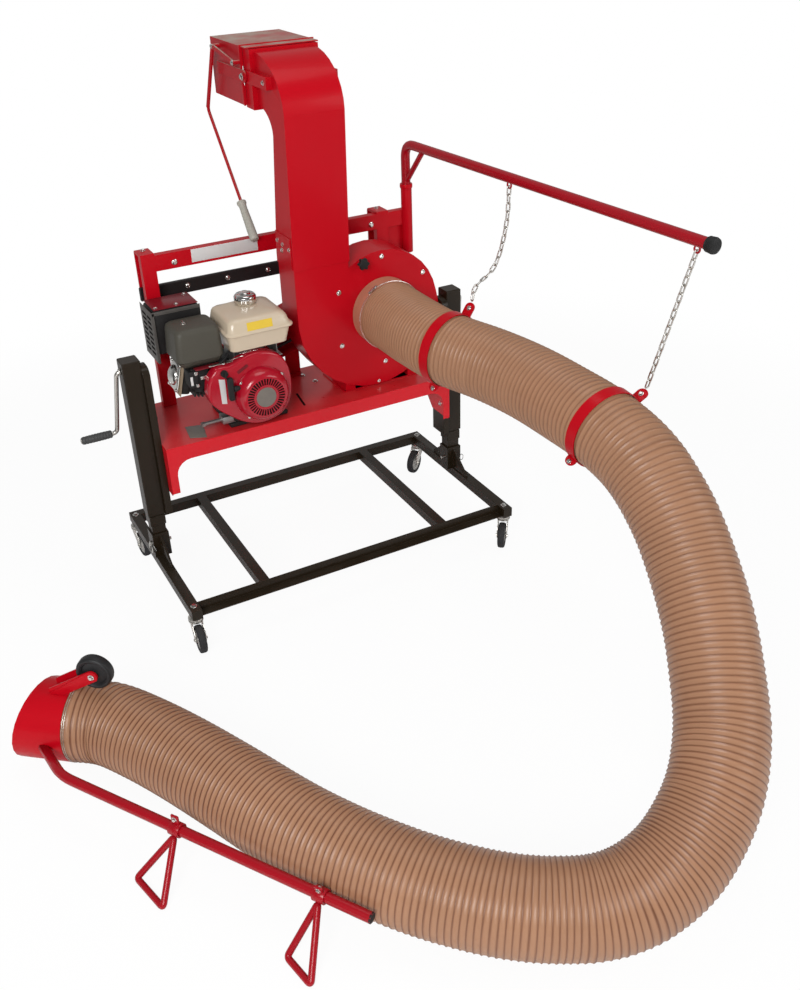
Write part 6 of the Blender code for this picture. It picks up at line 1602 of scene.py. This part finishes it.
@dataclass(frozen=True)
class Engine:
    """The small engine: castings, shroud, recoil starter, tank, cleaner and controls.

    Attributes:
        x: the crankshaft's place, left to right.
        z: its height.
        y: the cylinder's middle, front to back.
        face: the recoil cover's slotted face.
        shroud_front: the fan cowl's front face.
        tilt: the cylinder's lean in degrees.
        slots: ribs between the recoil cover's slots.
        slot_inner: radius at which a slot begins.
        slot_outer: radius at which it ends.
    """

    x: float = -0.205
    z: float = 0.748
    y: float = 0.112
    face: float = -0.105
    shroud_front: float = -0.060
    tilt: float = 14.0
    slots: int = 38
    slot_inner: float = 0.0455
    slot_outer: float = 0.0690

    @property
    def cylinder(self) -> Matrix:
        """The frame of the inclined cylinder, -X to its head."""
        return Matrix.Translation((self.x, self.y, self.z)) @ about("Y", self.tilt)

    def build(self) -> None:
        """Dress the castings and covers, and build the small parts."""
        refined("engine_block", Coat.FINS, 0.0010)
        refined("muffler", Coat.MUFFLER, 0.0016)
        refined("carburettor", Coat.RUBBER, 0.0012)
        for step in (
            self.shroud, self.tank, self.cleaner, self.guard, self.carburettor, self.recoil, self.head,
            self.tank_fittings, self.controls, self.plates, self.starter, self.linkage,
        ):
            step()

    def shroud(self) -> None:
        """The pressed fan cowl, with a broad lobe round the starter and a smaller one towards the cylinder."""
        knots = [
            (-0.352, 0.8715), (-0.305, 0.8725), (-0.264, 0.888), (-0.215, 0.8985), (-0.165, 0.892), (-0.120, 0.866),
            (-0.095, 0.818), (-0.0890, 0.748), (-0.103, 0.686), (-0.137, 0.648), (-0.187, 0.6325), (-0.236, 0.6345),
            (-0.284, 0.654), (-0.330, 0.688), (-0.366, 0.720), (-0.390, 0.752), (-0.396, 0.790), (-0.384, 0.838),
        ]
        flat = [Vector((x, z, 0)) for x, z in (knots[-1], *knots, knots[0], knots[1])]
        outline = [(point.x, point.y) for point in smooth(flat, 5)[5:-6]]
        cowl = plate(outline, 1, self.shroud_front + 0.0002, -0.0203)
        bevel(cowl, [edge for edge in cowl.edges if all(vert.co.y < -0.05 for vert in edge.verts)], 0.009, 4)
        piece("fan_cowl_pressed", [cowl], Coat.CRIMSON, MACHINE, "engine_shroud", 50)

    def tank(self) -> None:
        """The pressed fuel tank with its welded rim, and the two brackets under it."""
        rings = [
            (0.9085, -0.286, -0.090, -0.042, 0.144, 0.018), (0.912, -0.291, -0.084, -0.047, 0.149, 0.020),
            (0.964, -0.296, -0.069, -0.051, 0.155, 0.022), (0.9662, -0.303, -0.060, -0.0572, 0.161, 0.026),
            (0.9685, -0.304, -0.058, -0.058, 0.162, 0.026), (0.9725, -0.304, -0.058, -0.058, 0.162, 0.026),
            (0.9755, -0.301, -0.062, -0.055, 0.159, 0.026), (0.978, -0.296, -0.068, -0.0515, 0.155, 0.022),
            (1.006, -0.291, -0.078, -0.0475, 0.150, 0.022), (1.014, -0.287, -0.084, -0.0435, 0.146, 0.022),
            (1.0195, -0.279, -0.093, -0.0355, 0.138, 0.020), (1.0225, -0.266, -0.108, -0.0225, 0.126, 0.018),
            (1.0250, -0.240, -0.128, 0.012, 0.1250, 0.016), (1.0260, -0.224, -0.138, 0.040, 0.1245, 0.014),
        ]
        piece("fuel_tank_pressed", [stacked(rings)], Coat.TANK, MACHINE, "fuel_tank", 50)
        folds = ((0.020, 0.8445, 0.8475), (0.0025, 0.8475, 0.9095), (0.020, 0.9060, 0.9084))
        feet = [
            block((x, 0, low), (x + wide, 0.100, high), 0.0006)
            for x in (-0.270, -0.112) for wide, low, high in folds
        ]
        piece("tank_brackets", feet, Coat.ALLOY)

    def cleaner(self) -> None:
        """The air cleaner's moulded cover over its base tray, held by a wing bolt on top."""
        rings = [
            (0.8690, -0.448, -0.322, 0.006, 0.112, 0.016), (0.884, -0.462, -0.312, -0.008, 0.121, 0.022),
            (0.8950, -0.468, -0.308, -0.014, 0.1255, 0.024), (0.8962, -0.466, -0.310, -0.012, 0.1235, 0.024),
            (0.8985, -0.466, -0.310, -0.012, 0.1235, 0.024), (0.8997, -0.4725, -0.3065, -0.0185, 0.127, 0.026),
            (0.9080, -0.473, -0.306, -0.019, 0.127, 0.022), (0.990, -0.468, -0.310, -0.015, 0.124, 0.022),
            (1.002, -0.465, -0.313, -0.012, 0.121, 0.022), (1.0075, -0.459, -0.319, -0.006, 0.115, 0.021),
            (1.0105, -0.450, -0.328, 0.003, 0.106, 0.019), (1.0125, -0.430, -0.348, 0.023, 0.086, 0.014),
        ]
        piece("air_cleaner_moulded", [stacked(rings)], Coat.CLEANER, MACHINE, "air_cleaner", 60)
        x, y, z = at = (-0.418, 0.050, 1.0126)
        wing = block((x - 0.0012, y - 0.011, z + 0.003), (x + 0.0012, y + 0.011, z + 0.0095), 0.001)
        piece("cleaner_wing_bolt", [*hex_bolt(at, UP, 0.0062), wing], Coat.BRIGHT)

    def guard(self) -> None:
        """The muffler's louvred guard sheet with its folded edges and screws, and its slots as blocks of painted shade.
        """
        sheet = [
            block((-0.4982, 0.140, 0.852), (-0.4965, 0.274, 1.036), 0.0006),
            block((-0.4978, 0.1345, 1.026), (-0.3260, 0.1357, 1.0396), 0.0004),
            block((-0.4982, 0.1345, 0.852), (-0.4900, 0.1357, 1.036), 0.0004),
        ]
        piece("muffler_guard_sheet", sheet, Coat.GUARD)
        rows = [0.876 + 0.0185 * row for row in range(8)]
        # Each slot is a thin near-black block of painted shade on the sheet.
        louvres = [block((-0.4990, y, z), (-0.4980, y + 0.040, z + 0.008)) for y in (0.156, 0.212) for z in rows]
        piece("muffler_louvre_painted_shade", louvres, Coat.SHADOW)
        spots = ((-0.474, 0.166), (-0.400, 0.166), (-0.346, 0.246))
        bolts("muffler_guard_screws", [((*spot, 1.0417), UP, 0.0055) for spot in spots])

    def carburettor(self) -> None:
        """Float bowl, choke housing, fuel hose and the small bolts under the air cleaner."""
        bowl = [(0, 0), (0, 0.017), (0.022, 0.017), (0.030, 0.012), (0.032, 0)]
        route = [(-0.276, 0.010, 0.912), (-0.300, -0.006, 0.886), (-0.345, -0.016, 0.862), (-0.382, -0.010, 0.840)]
        shapes = [
            block((-0.442, -0.017, 0.802), (-0.408, 0.040, 0.864), 0.004, 3),
            block((-0.408, -0.014, 0.818), (-0.372, 0.030, 0.850), 0.003),
            turned((-0.396, 0.006, 0.818), DOWN, bowl, 32),
            welded(tube(smooth(route), 0.0042, 3)),
        ]
        piece("carburettor_fittings", shapes, Coat.RUBBER)
        label = block((-0.4385, -0.0178, 0.814), (-0.4300, -0.0170, 0.846))
        piece("carburettor_bare_label", [label], Coat.LABEL)
        bright = [
            *hex_bolt((-0.4165, -0.0170, 0.8545), FORWARD, 0.0050),
            *hex_bolt((-0.4150, -0.0170, 0.8100), FORWARD, 0.0045),
            *hex_bolt((-0.396, 0.006, 0.7858), DOWN, 0.0050),
            block((-0.404, -0.0215, 0.8300), (-0.380, -0.0195, 0.8420), 0.0006),
            rod((-0.392, -0.0200, 0.836), (-0.392, -0.0135, 0.836), 0.0035, 16),
        ]
        piece("carburettor_bright_parts", bright, Coat.BRIGHT)

    def recoil(self) -> None:
        """The starter's cover with its ring of slots, a disc of painted shade behind them, and its plain centre disc.
        """
        start = (self.x, self.shroud_front - 0.0003, self.z)
        inner, outer = self.slot_inner, self.slot_outer
        shell = [
            (0, 0.084), (0, 0.098), (0.004, 0.0985), (0.012, 0.0960), (0.024, 0.0925), (0.034, 0.0870),
            (0.041, 0.0800), (0.0442, 0.0740), (0.0447, outer), (0.0400, outer), (0.0380, 0.076), (0.030, 0.083),
        ]
        middle = [(0.036, 0), (0.036, inner), (0.0447, inner), (0.0447, 0.0385), (0.0438, 0.0380), (0.0438, 0)]
        shapes = [turned(start, FORWARD, shell, 96), turned(start, FORWARD, middle, 96)]
        near, far = inner - 0.001, outer + 0.001
        rib = [(near, -0.0012), (far, -0.0021), (far, 0.0021), (near, 0.0012)]
        for i in range(self.slots):
            turn = Matrix.Translation((self.x, 0, self.z)) @ about("Y", 360 * i / self.slots)
            shapes.append(moved(plate(rib, 1, self.face + 0.0006, self.face + 0.005), turn))
        piece("recoil_cover_slotted", shapes, Coat.CRIMSON, MACHINE, "recoil_cover", 40)
        # A disc of painted shade just behind the ribs, so that the slots read black.
        dark = [(0.0385, 0), (0.0385, outer + 0.004), (0.0418, outer + 0.004), (0.0418, 0)]
        piece("recoil_painted_shade_core", [turned(start, FORWARD, dark, 64)], Coat.SHADOW)
        disc = [(0.0436, 0), (0.0436, 0.0362), (0.0442, 0.0366), (0.0446, 0.0362), (0.0446, 0)]
        piece("recoil_centre_disc", [turned(start, FORWARD, disc, 64)], Coat.GREY_PLATE)
        spots = on_circle((self.x, self.shroud_front - 0.012, self.z), 0.0935, (38, 142, 232, 318))
        bolts("recoil_bolts", [(at, FORWARD, 0.0052) for at in spots])

    def head(self) -> None:
        """The bright cover on the cylinder's head with its gasket plate and bolts."""
        place = self.cylinder
        gasket = block((-0.2512, -0.060, -0.060), (-0.2490, 0.066, 0.064), 0.0008)
        piece("head_gasket_plate", [moved(gasket, place)], Coat.GASKET)
        dome = [(0, 0), (0, 0.036), (0.004, 0.0355), (0.010, 0.031), (0.015, 0.022), (0.0175, 0.011), (0.018, 0)]
        shapes = [
            block((-0.262, -0.044, -0.052), (-0.2515, 0.044, 0.052), 0.006, 3),
            turned((-0.262, 0, 0), LEFT, dome, 48),
        ]
        piece("cylinder_head_cover", [moved(shape, place) for shape in shapes], Coat.BRIGHT)
        corners = [(-0.262, y, z) for y in (-0.036, 0.036) for z in (-0.044, 0.044)]
        way = place.to_3x3() @ Vector(LEFT)
        bolts("head_cover_bolts", [(place @ Vector(corner), way, 0.0050) for corner in corners])

    def tank_fittings(self) -> None:
        """The fluted cap, the tank's neck ring and its bare yellow plate."""
        x, y, z = centre = (-0.176, 0.090, 1.0303)
        flutes = []
        for i, (a, b) in enumerate(around(96)):
            r = 0.0382 + (0.0008 if i % 4 < 2 else 0.0)
            flutes.append((x + r * a, y + r * b))
        crown = [
            (0.020, 0), (0.020, 0.0384), (0.024, 0.0365), (0.0275, 0.033), (0.0285, 0.022), (0.0330, 0.019),
            (0.0350, 0.015), (0.0360, 0),
        ]
        shapes = [plate(flutes, 2, z, z + 0.0205, 0.0004), turned(centre, UP, crown, 64)]
        piece("fuel_cap_fluted", shapes, Coat.CHROME, "fuel_cap", "fuel_cap", 40)
        neck = [(0, 0.024), (0, 0.034), (0.003, 0.033), (0.006, 0.029), (0.006, 0.024)]
        piece("tank_neck_ring", [turned((x, y, 1.0240), UP, neck)], Coat.TANK)
        label = block((-0.229, 0.0, 0.0), (-0.137, 0.0006, 0.029))
        lean = Matrix.Translation((0, -0.0522, 0.9785)) @ about("X", -8.7)
        piece("tank_bare_plate", [moved(label, lean)], Coat.YELLOW)

    def controls(self) -> None:
        """The throttle lever with its pivot, and the engine switch."""
        x, y, z = self.x - 0.118, -0.034, self.z + 0.128
        arm = arc((x, y), (0.0065, 0.0065), -90, 90, 12)
        arm += [(x - 0.040, y + 0.0045), (x - 0.052, y + 0.0030), (x - 0.052, y - 0.0030), (x - 0.040, y - 0.0045)]
        pivot = turned((x, y, z), UP, [(0, 0), (0, 0.0085), (0.0038, 0.0080), (0.0040, 0)], 32)
        shapes = [plate(arm, 2, z, z + 0.003, 0.0005), pivot]
        piece("throttle_arm", shapes, Coat.BRIGHT, "throttle_lever", "throttle_lever")
        x, y, z = self.x - 0.128, self.shroud_front - 0.0003, self.z + 0.104
        body = [(0, 0), (0, 0.0126), (0.009, 0.0122), (0.0115, 0.0108), (0.012, 0)]
        bar = block((x - 0.003, y - 0.020, z - 0.012), (x + 0.003, y - 0.010, z + 0.012), 0.0014)
        shapes = [turned((x, y, z), FORWARD, body, 40), bar]
        piece("engine_switch_knob", shapes, Coat.RUBBER, "engine_switch", "engine_switch")

    def plates(self) -> None:
        """Bare plates where the real engine has its stickers and badge, and the maroon plates."""
        y = self.shroud_front
        strip = [(-0.354, 0.834), (-0.332, 0.829), (-0.334, 0.738), (-0.352, 0.742)]
        piece("shroud_bare_strip", [plate(strip, 1, y - 0.0005, y + 0.0003)], Coat.LABEL)
        badge = block((-0.022, 0, -0.006), (0.022, 0.0006, 0.006))
        turn = Matrix.Translation((self.x - 0.060, y - 0.0004, self.z + 0.104)) @ about("Y", -28)
        piece("shroud_badge_recess", [moved(badge, turn)], Coat.MAROON)
        shelf = block((-0.420, -0.030, 0.8690), (-0.300, -0.006, 0.8735), 0.001)
        guard = block((-0.486, 0.146, 1.0402), (-0.328, 0.266, 1.0416), 0.0005)
        piece("maroon_plates", [shelf, guard], Coat.MAROON)

    def starter(self) -> None:
        """The tall starter grip, the guide that its rope runs into, and the rope."""
        x, y, z = self.x - 0.1045, self.shroud_front - 0.0003, self.z
        grip = block((x - 0.020, y - 0.026, z + 0.006), (x - 0.0003, y - 0.004, z + 0.090), 0.006, 4)
        piece("starter_pull_grip", [grip], Coat.RUBBER, "starter_grip", "starter_grip")
        guide_at = (self.x - 0.082, y - 0.014, z + 0.045)
        guide = [
            (0, 0), (0, 0.0075), (0.012, 0.0100), (0.018, 0.0102), (0.0215, 0.0090), (0.0215, 0.0045),
            (0.012, 0.0040), (0.012, 0),
        ]
        piece("rope_guide", [turned(guide_at, LEFT, guide, 32)], Coat.RUBBER)
        knots = [Vector(guide_at) - Vector((0.014 + 0.0008 * i, 0, 0)) for i in range(21)]
        cord = as_object("starter_cord", [welded(tube(knots, 0.0022, 3))], Coat.LABEL)
        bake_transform(cord)

    def linkage(self) -> None:
        """Bright governor rods and the return spring under the tank, and the drain by the deck."""
        route = [(-0.300, -0.040, 0.884), (-0.262, -0.044, 0.892), (-0.225, -0.030, 0.886), (-0.190, -0.012, 0.893)]
        coil = [
            (-0.262 + 0.0007 * i, -0.034 + 0.0035 * math.cos(a), 0.8985 + 0.0035 * math.sin(a))
            for i, a in ((i, math.tau * i / 8) for i in range(97))
        ]
        shapes = [
            welded(tube(smooth(route), 0.0016, 2)),
            welded(tube(coil, 0.0007, 1)),
            block((-0.312, -0.040, 0.877), (-0.290, -0.020, 0.879), 0.0005),
        ]
        piece("governor_linkage", shapes, Coat.BRIGHT)
        drain = [
            rod((-0.404, 0.014, 0.645), (-0.300, 0.018, 0.645), 0.0070, 24),
            rod((-0.414, 0.0136, 0.645), (-0.403, 0.014, 0.645), 0.0105, 6),
            block((-0.340, -0.004, 0.6317), (-0.286, 0.040, 0.6600), 0.004),
        ]
        piece("oil_drain", drain, Coat.ALLOY)


# --- Studio ------------------------------------------------------------------


WHITE = (1.0, 1.0, 1.0, 1.0)


@dataclass(frozen=True)
class PhotoCamera:
    """The camera at the photograph's viewing angle.

    Attributes:
        place: where it stands.
        turn: its heading in degrees.
        drop: how far it looks down.
        roll: its tilt about the view axis.
        lens: focal length on a 36 mm sensor.
    """

    place: Triple = (-1.345, -2.9398, 2.339)
    turn: float = -27.63
    drop: float = 31.14
    roll: float = -1.95
    lens: float = 38.44

    def build(self) -> None:
        """Make the camera and set it as the scene's."""
        a, e, s = (math.radians(value) for value in (self.turn, self.drop, self.roll))
        view = Vector((-math.sin(a) * math.cos(e), math.cos(a) * math.cos(e), -math.sin(e)))
        level = view.cross(Vector(UP)).normalized()
        upward = level.cross(view)
        right = math.cos(s) * level + math.sin(s) * upward
        top = -math.sin(s) * level + math.cos(s) * upward
        data = bpy.data.cameras.new("photo_camera")
        data.lens = self.lens
        data.sensor_width = 36.0
        camera = bpy.data.objects.new("photo_camera", data)
        turned_axes = Matrix((right, top, -view)).transposed().to_4x4()
        camera.matrix_world = Matrix.Translation(self.place) @ turned_axes
        bpy.context.scene.collection.objects.link(camera)
        bpy.context.scene.camera = camera


@dataclass(frozen=True)
class Studio:
    """Pale floor, white surroundings and soft light.

    Attributes:
        ambient: strength of the surroundings' even light.
        mirrored: strengths at which glossy faces see the surroundings, before and behind the machine.
        rise: how far back the view looks where those two strengths stand.
        clear: distances from the middle between which the floor goes over to plain white for the camera.
        lift: share of plain white that the camera sees in the floor near the machine.
        floor_radius: radius of the floor.
        lamps: (name, place, aimed at, size, power) of each soft box.
    """

    ambient: float = 0.34
    mirrored: Pair = (0.16, 0.46)
    rise: Pair = (0.2, 0.9)
    clear: Pair = (2.2, 3.4)
    lift: float = 0.94
    floor_radius: float = 30.0
    lamps: tuple[tuple[str, Point, Point, float, float], ...] = (
        ("key_soft_box", (-3.4, -4.2, 3.5), (0.0, 0.0, 0.8), 2.6, 232.0),
        ("fill_soft_box", (3.6, -4.0, 3.0), (0.0, 0.0, 0.8), 3.0, 78.0),
        ("top_soft_box", (0.4, 0.2, 5.4), (0.0, 0.2, 0.8), 3.0, 46.0),
    )

    def build(self) -> None:
        """Make the floor, the world and the lamps."""
        self.floor()
        self.world()
        for name, place, target, size, power in self.lamps:
            data = bpy.data.lights.new(name, "AREA")
            data.shape = "DISK"
            data.size = size
            data.energy = power
            lamp = bpy.data.objects.new(name, data)
            aim = (Vector(target) - Vector(place)).to_track_quat("-Z", "Y").to_matrix().to_4x4()
            lamp.matrix_world = Matrix.Translation(place) @ aim
            bpy.context.scene.collection.objects.link(lamp)
        bpy.context.scene.view_settings.view_transform = "Standard"

    def floor(self) -> None:
        """A wide round pale floor."""
        shape = bmesh.new()
        bmesh.ops.create_circle(shape, cap_ends=True, radius=self.floor_radius, segments=64)
        mesh = bpy.data.meshes.new("studio_floor")
        shape.to_mesh(mesh)
        shape.free()
        made = bpy.data.objects.new("studio_floor", mesh)
        bpy.context.scene.collection.objects.link(made)
        material = bpy.data.materials.new("pale_floor")
        material.use_nodes = True
        shader = material.node_tree.nodes["Principled BSDF"]
        shader.inputs["Base Color"].default_value = (0.90, 0.90, 0.90, 1.0)
        shader.inputs["Roughness"].default_value = 0.85
        shader.inputs["Specular IOR Level"].default_value = 0.1
        self.backdrop(Nodes(material.node_tree), shader.outputs[0])
        made.data.materials.append(material)

    def backdrop(self, nodes: Nodes, lit: Socket) -> None:
        """Let camera rays alone see the floor go over to plain white away from the machine.

        Args:
            nodes: the floor material's nodes.
            lit: its lit surface.
        """
        reach = nodes.node("VectorMath", nodes.node("TexCoord").outputs["Object"], operation="LENGTH")
        away = nodes.node("MapRange", reach.outputs["Value"], *self.clear, self.lift, interpolation_type="SMOOTHSTEP")
        share = nodes.math("MULTIPLY", away.outputs["Result"], nodes.node("LightPath").outputs["Is Camera Ray"])
        mix = nodes.node("MixShader", share, lit, nodes.node("Emission").outputs[0])
        nodes.feed(mix.outputs[0], nodes.tree.nodes["Material Output"].inputs["Surface"])

    def world(self) -> None:
        """Even pale surroundings, plain white to the camera and dimmer in reflections."""
        world = bpy.data.worlds.new("studio")
        bpy.context.scene.world = world
        world.use_nodes = True
        nodes = Nodes(world.node_tree)
        path = nodes.node("LightPath")
        last = nodes.tree.nodes["Background"]
        last.inputs["Color"].default_value = WHITE
        last.inputs["Strength"].default_value = self.ambient
        for ray in ("Is Glossy Ray", "Is Transmission Ray", "Is Camera Ray"):
            seen = nodes.node("Background", WHITE, self.wall(nodes) if ray == "Is Glossy Ray" else 1.0)
            last = nodes.node("MixShader", path.outputs[ray], last.outputs[0], seen.outputs[0])
        nodes.feed(last.outputs[0], nodes.tree.nodes["World Output"].inputs["Surface"])

    def wall(self, nodes: Nodes) -> Socket:
        """Strength of the reflected surroundings, which grows towards the pale wall behind the machine.

        Args:
            nodes: the world's nodes.

        Returns:
            The strength's socket.
        """
        parts = nodes.node("SeparateXYZ", nodes.node("TexCoord").outputs["Generated"])
        return nodes.node("MapRange", parts.outputs["Y"], *self.rise, *self.mirrored).outputs["Result"]


def main() -> None:
    """Build the machine's sub-assemblies in order."""
    logging.basicConfig(level=logging.INFO, format="%(message)s")
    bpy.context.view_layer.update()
    PhotoCamera().build()
    SuctionHose().build()
    rings = (HoseRing("hose_ring_inner", 3, 52), HoseRing("hose_ring_outer", 7, 30))
    lugs = [ring.build() for ring in rings]
    Nozzle().build()
    CarryingHandles().build()
    Trolley().build()
    castors = (
        ("front_left", -1, -1, -95), ("front_right", 1, -1, -130),
        ("back_right", 1, 1, -145), ("back_left", -1, 1, -85),
    )
    for corner, x, y, heading in castors:
        Castor(corner, (x * Trolley.castor_x, y * Trolley.castor_y, 0.0), heading).build()
    for side, word in ((-1, "left"), (1, "right")):
        JackLeg(side, word).build()
    Deck().build()
    RearFrame().build()
    boom = Boom()
    boom.build()
    boom.chains(lugs)
    for assembly in (Fan(), Chute(), Hood(), Engine(), Studio()):
        assembly.build()


if __name__ == "__main__":
    main()
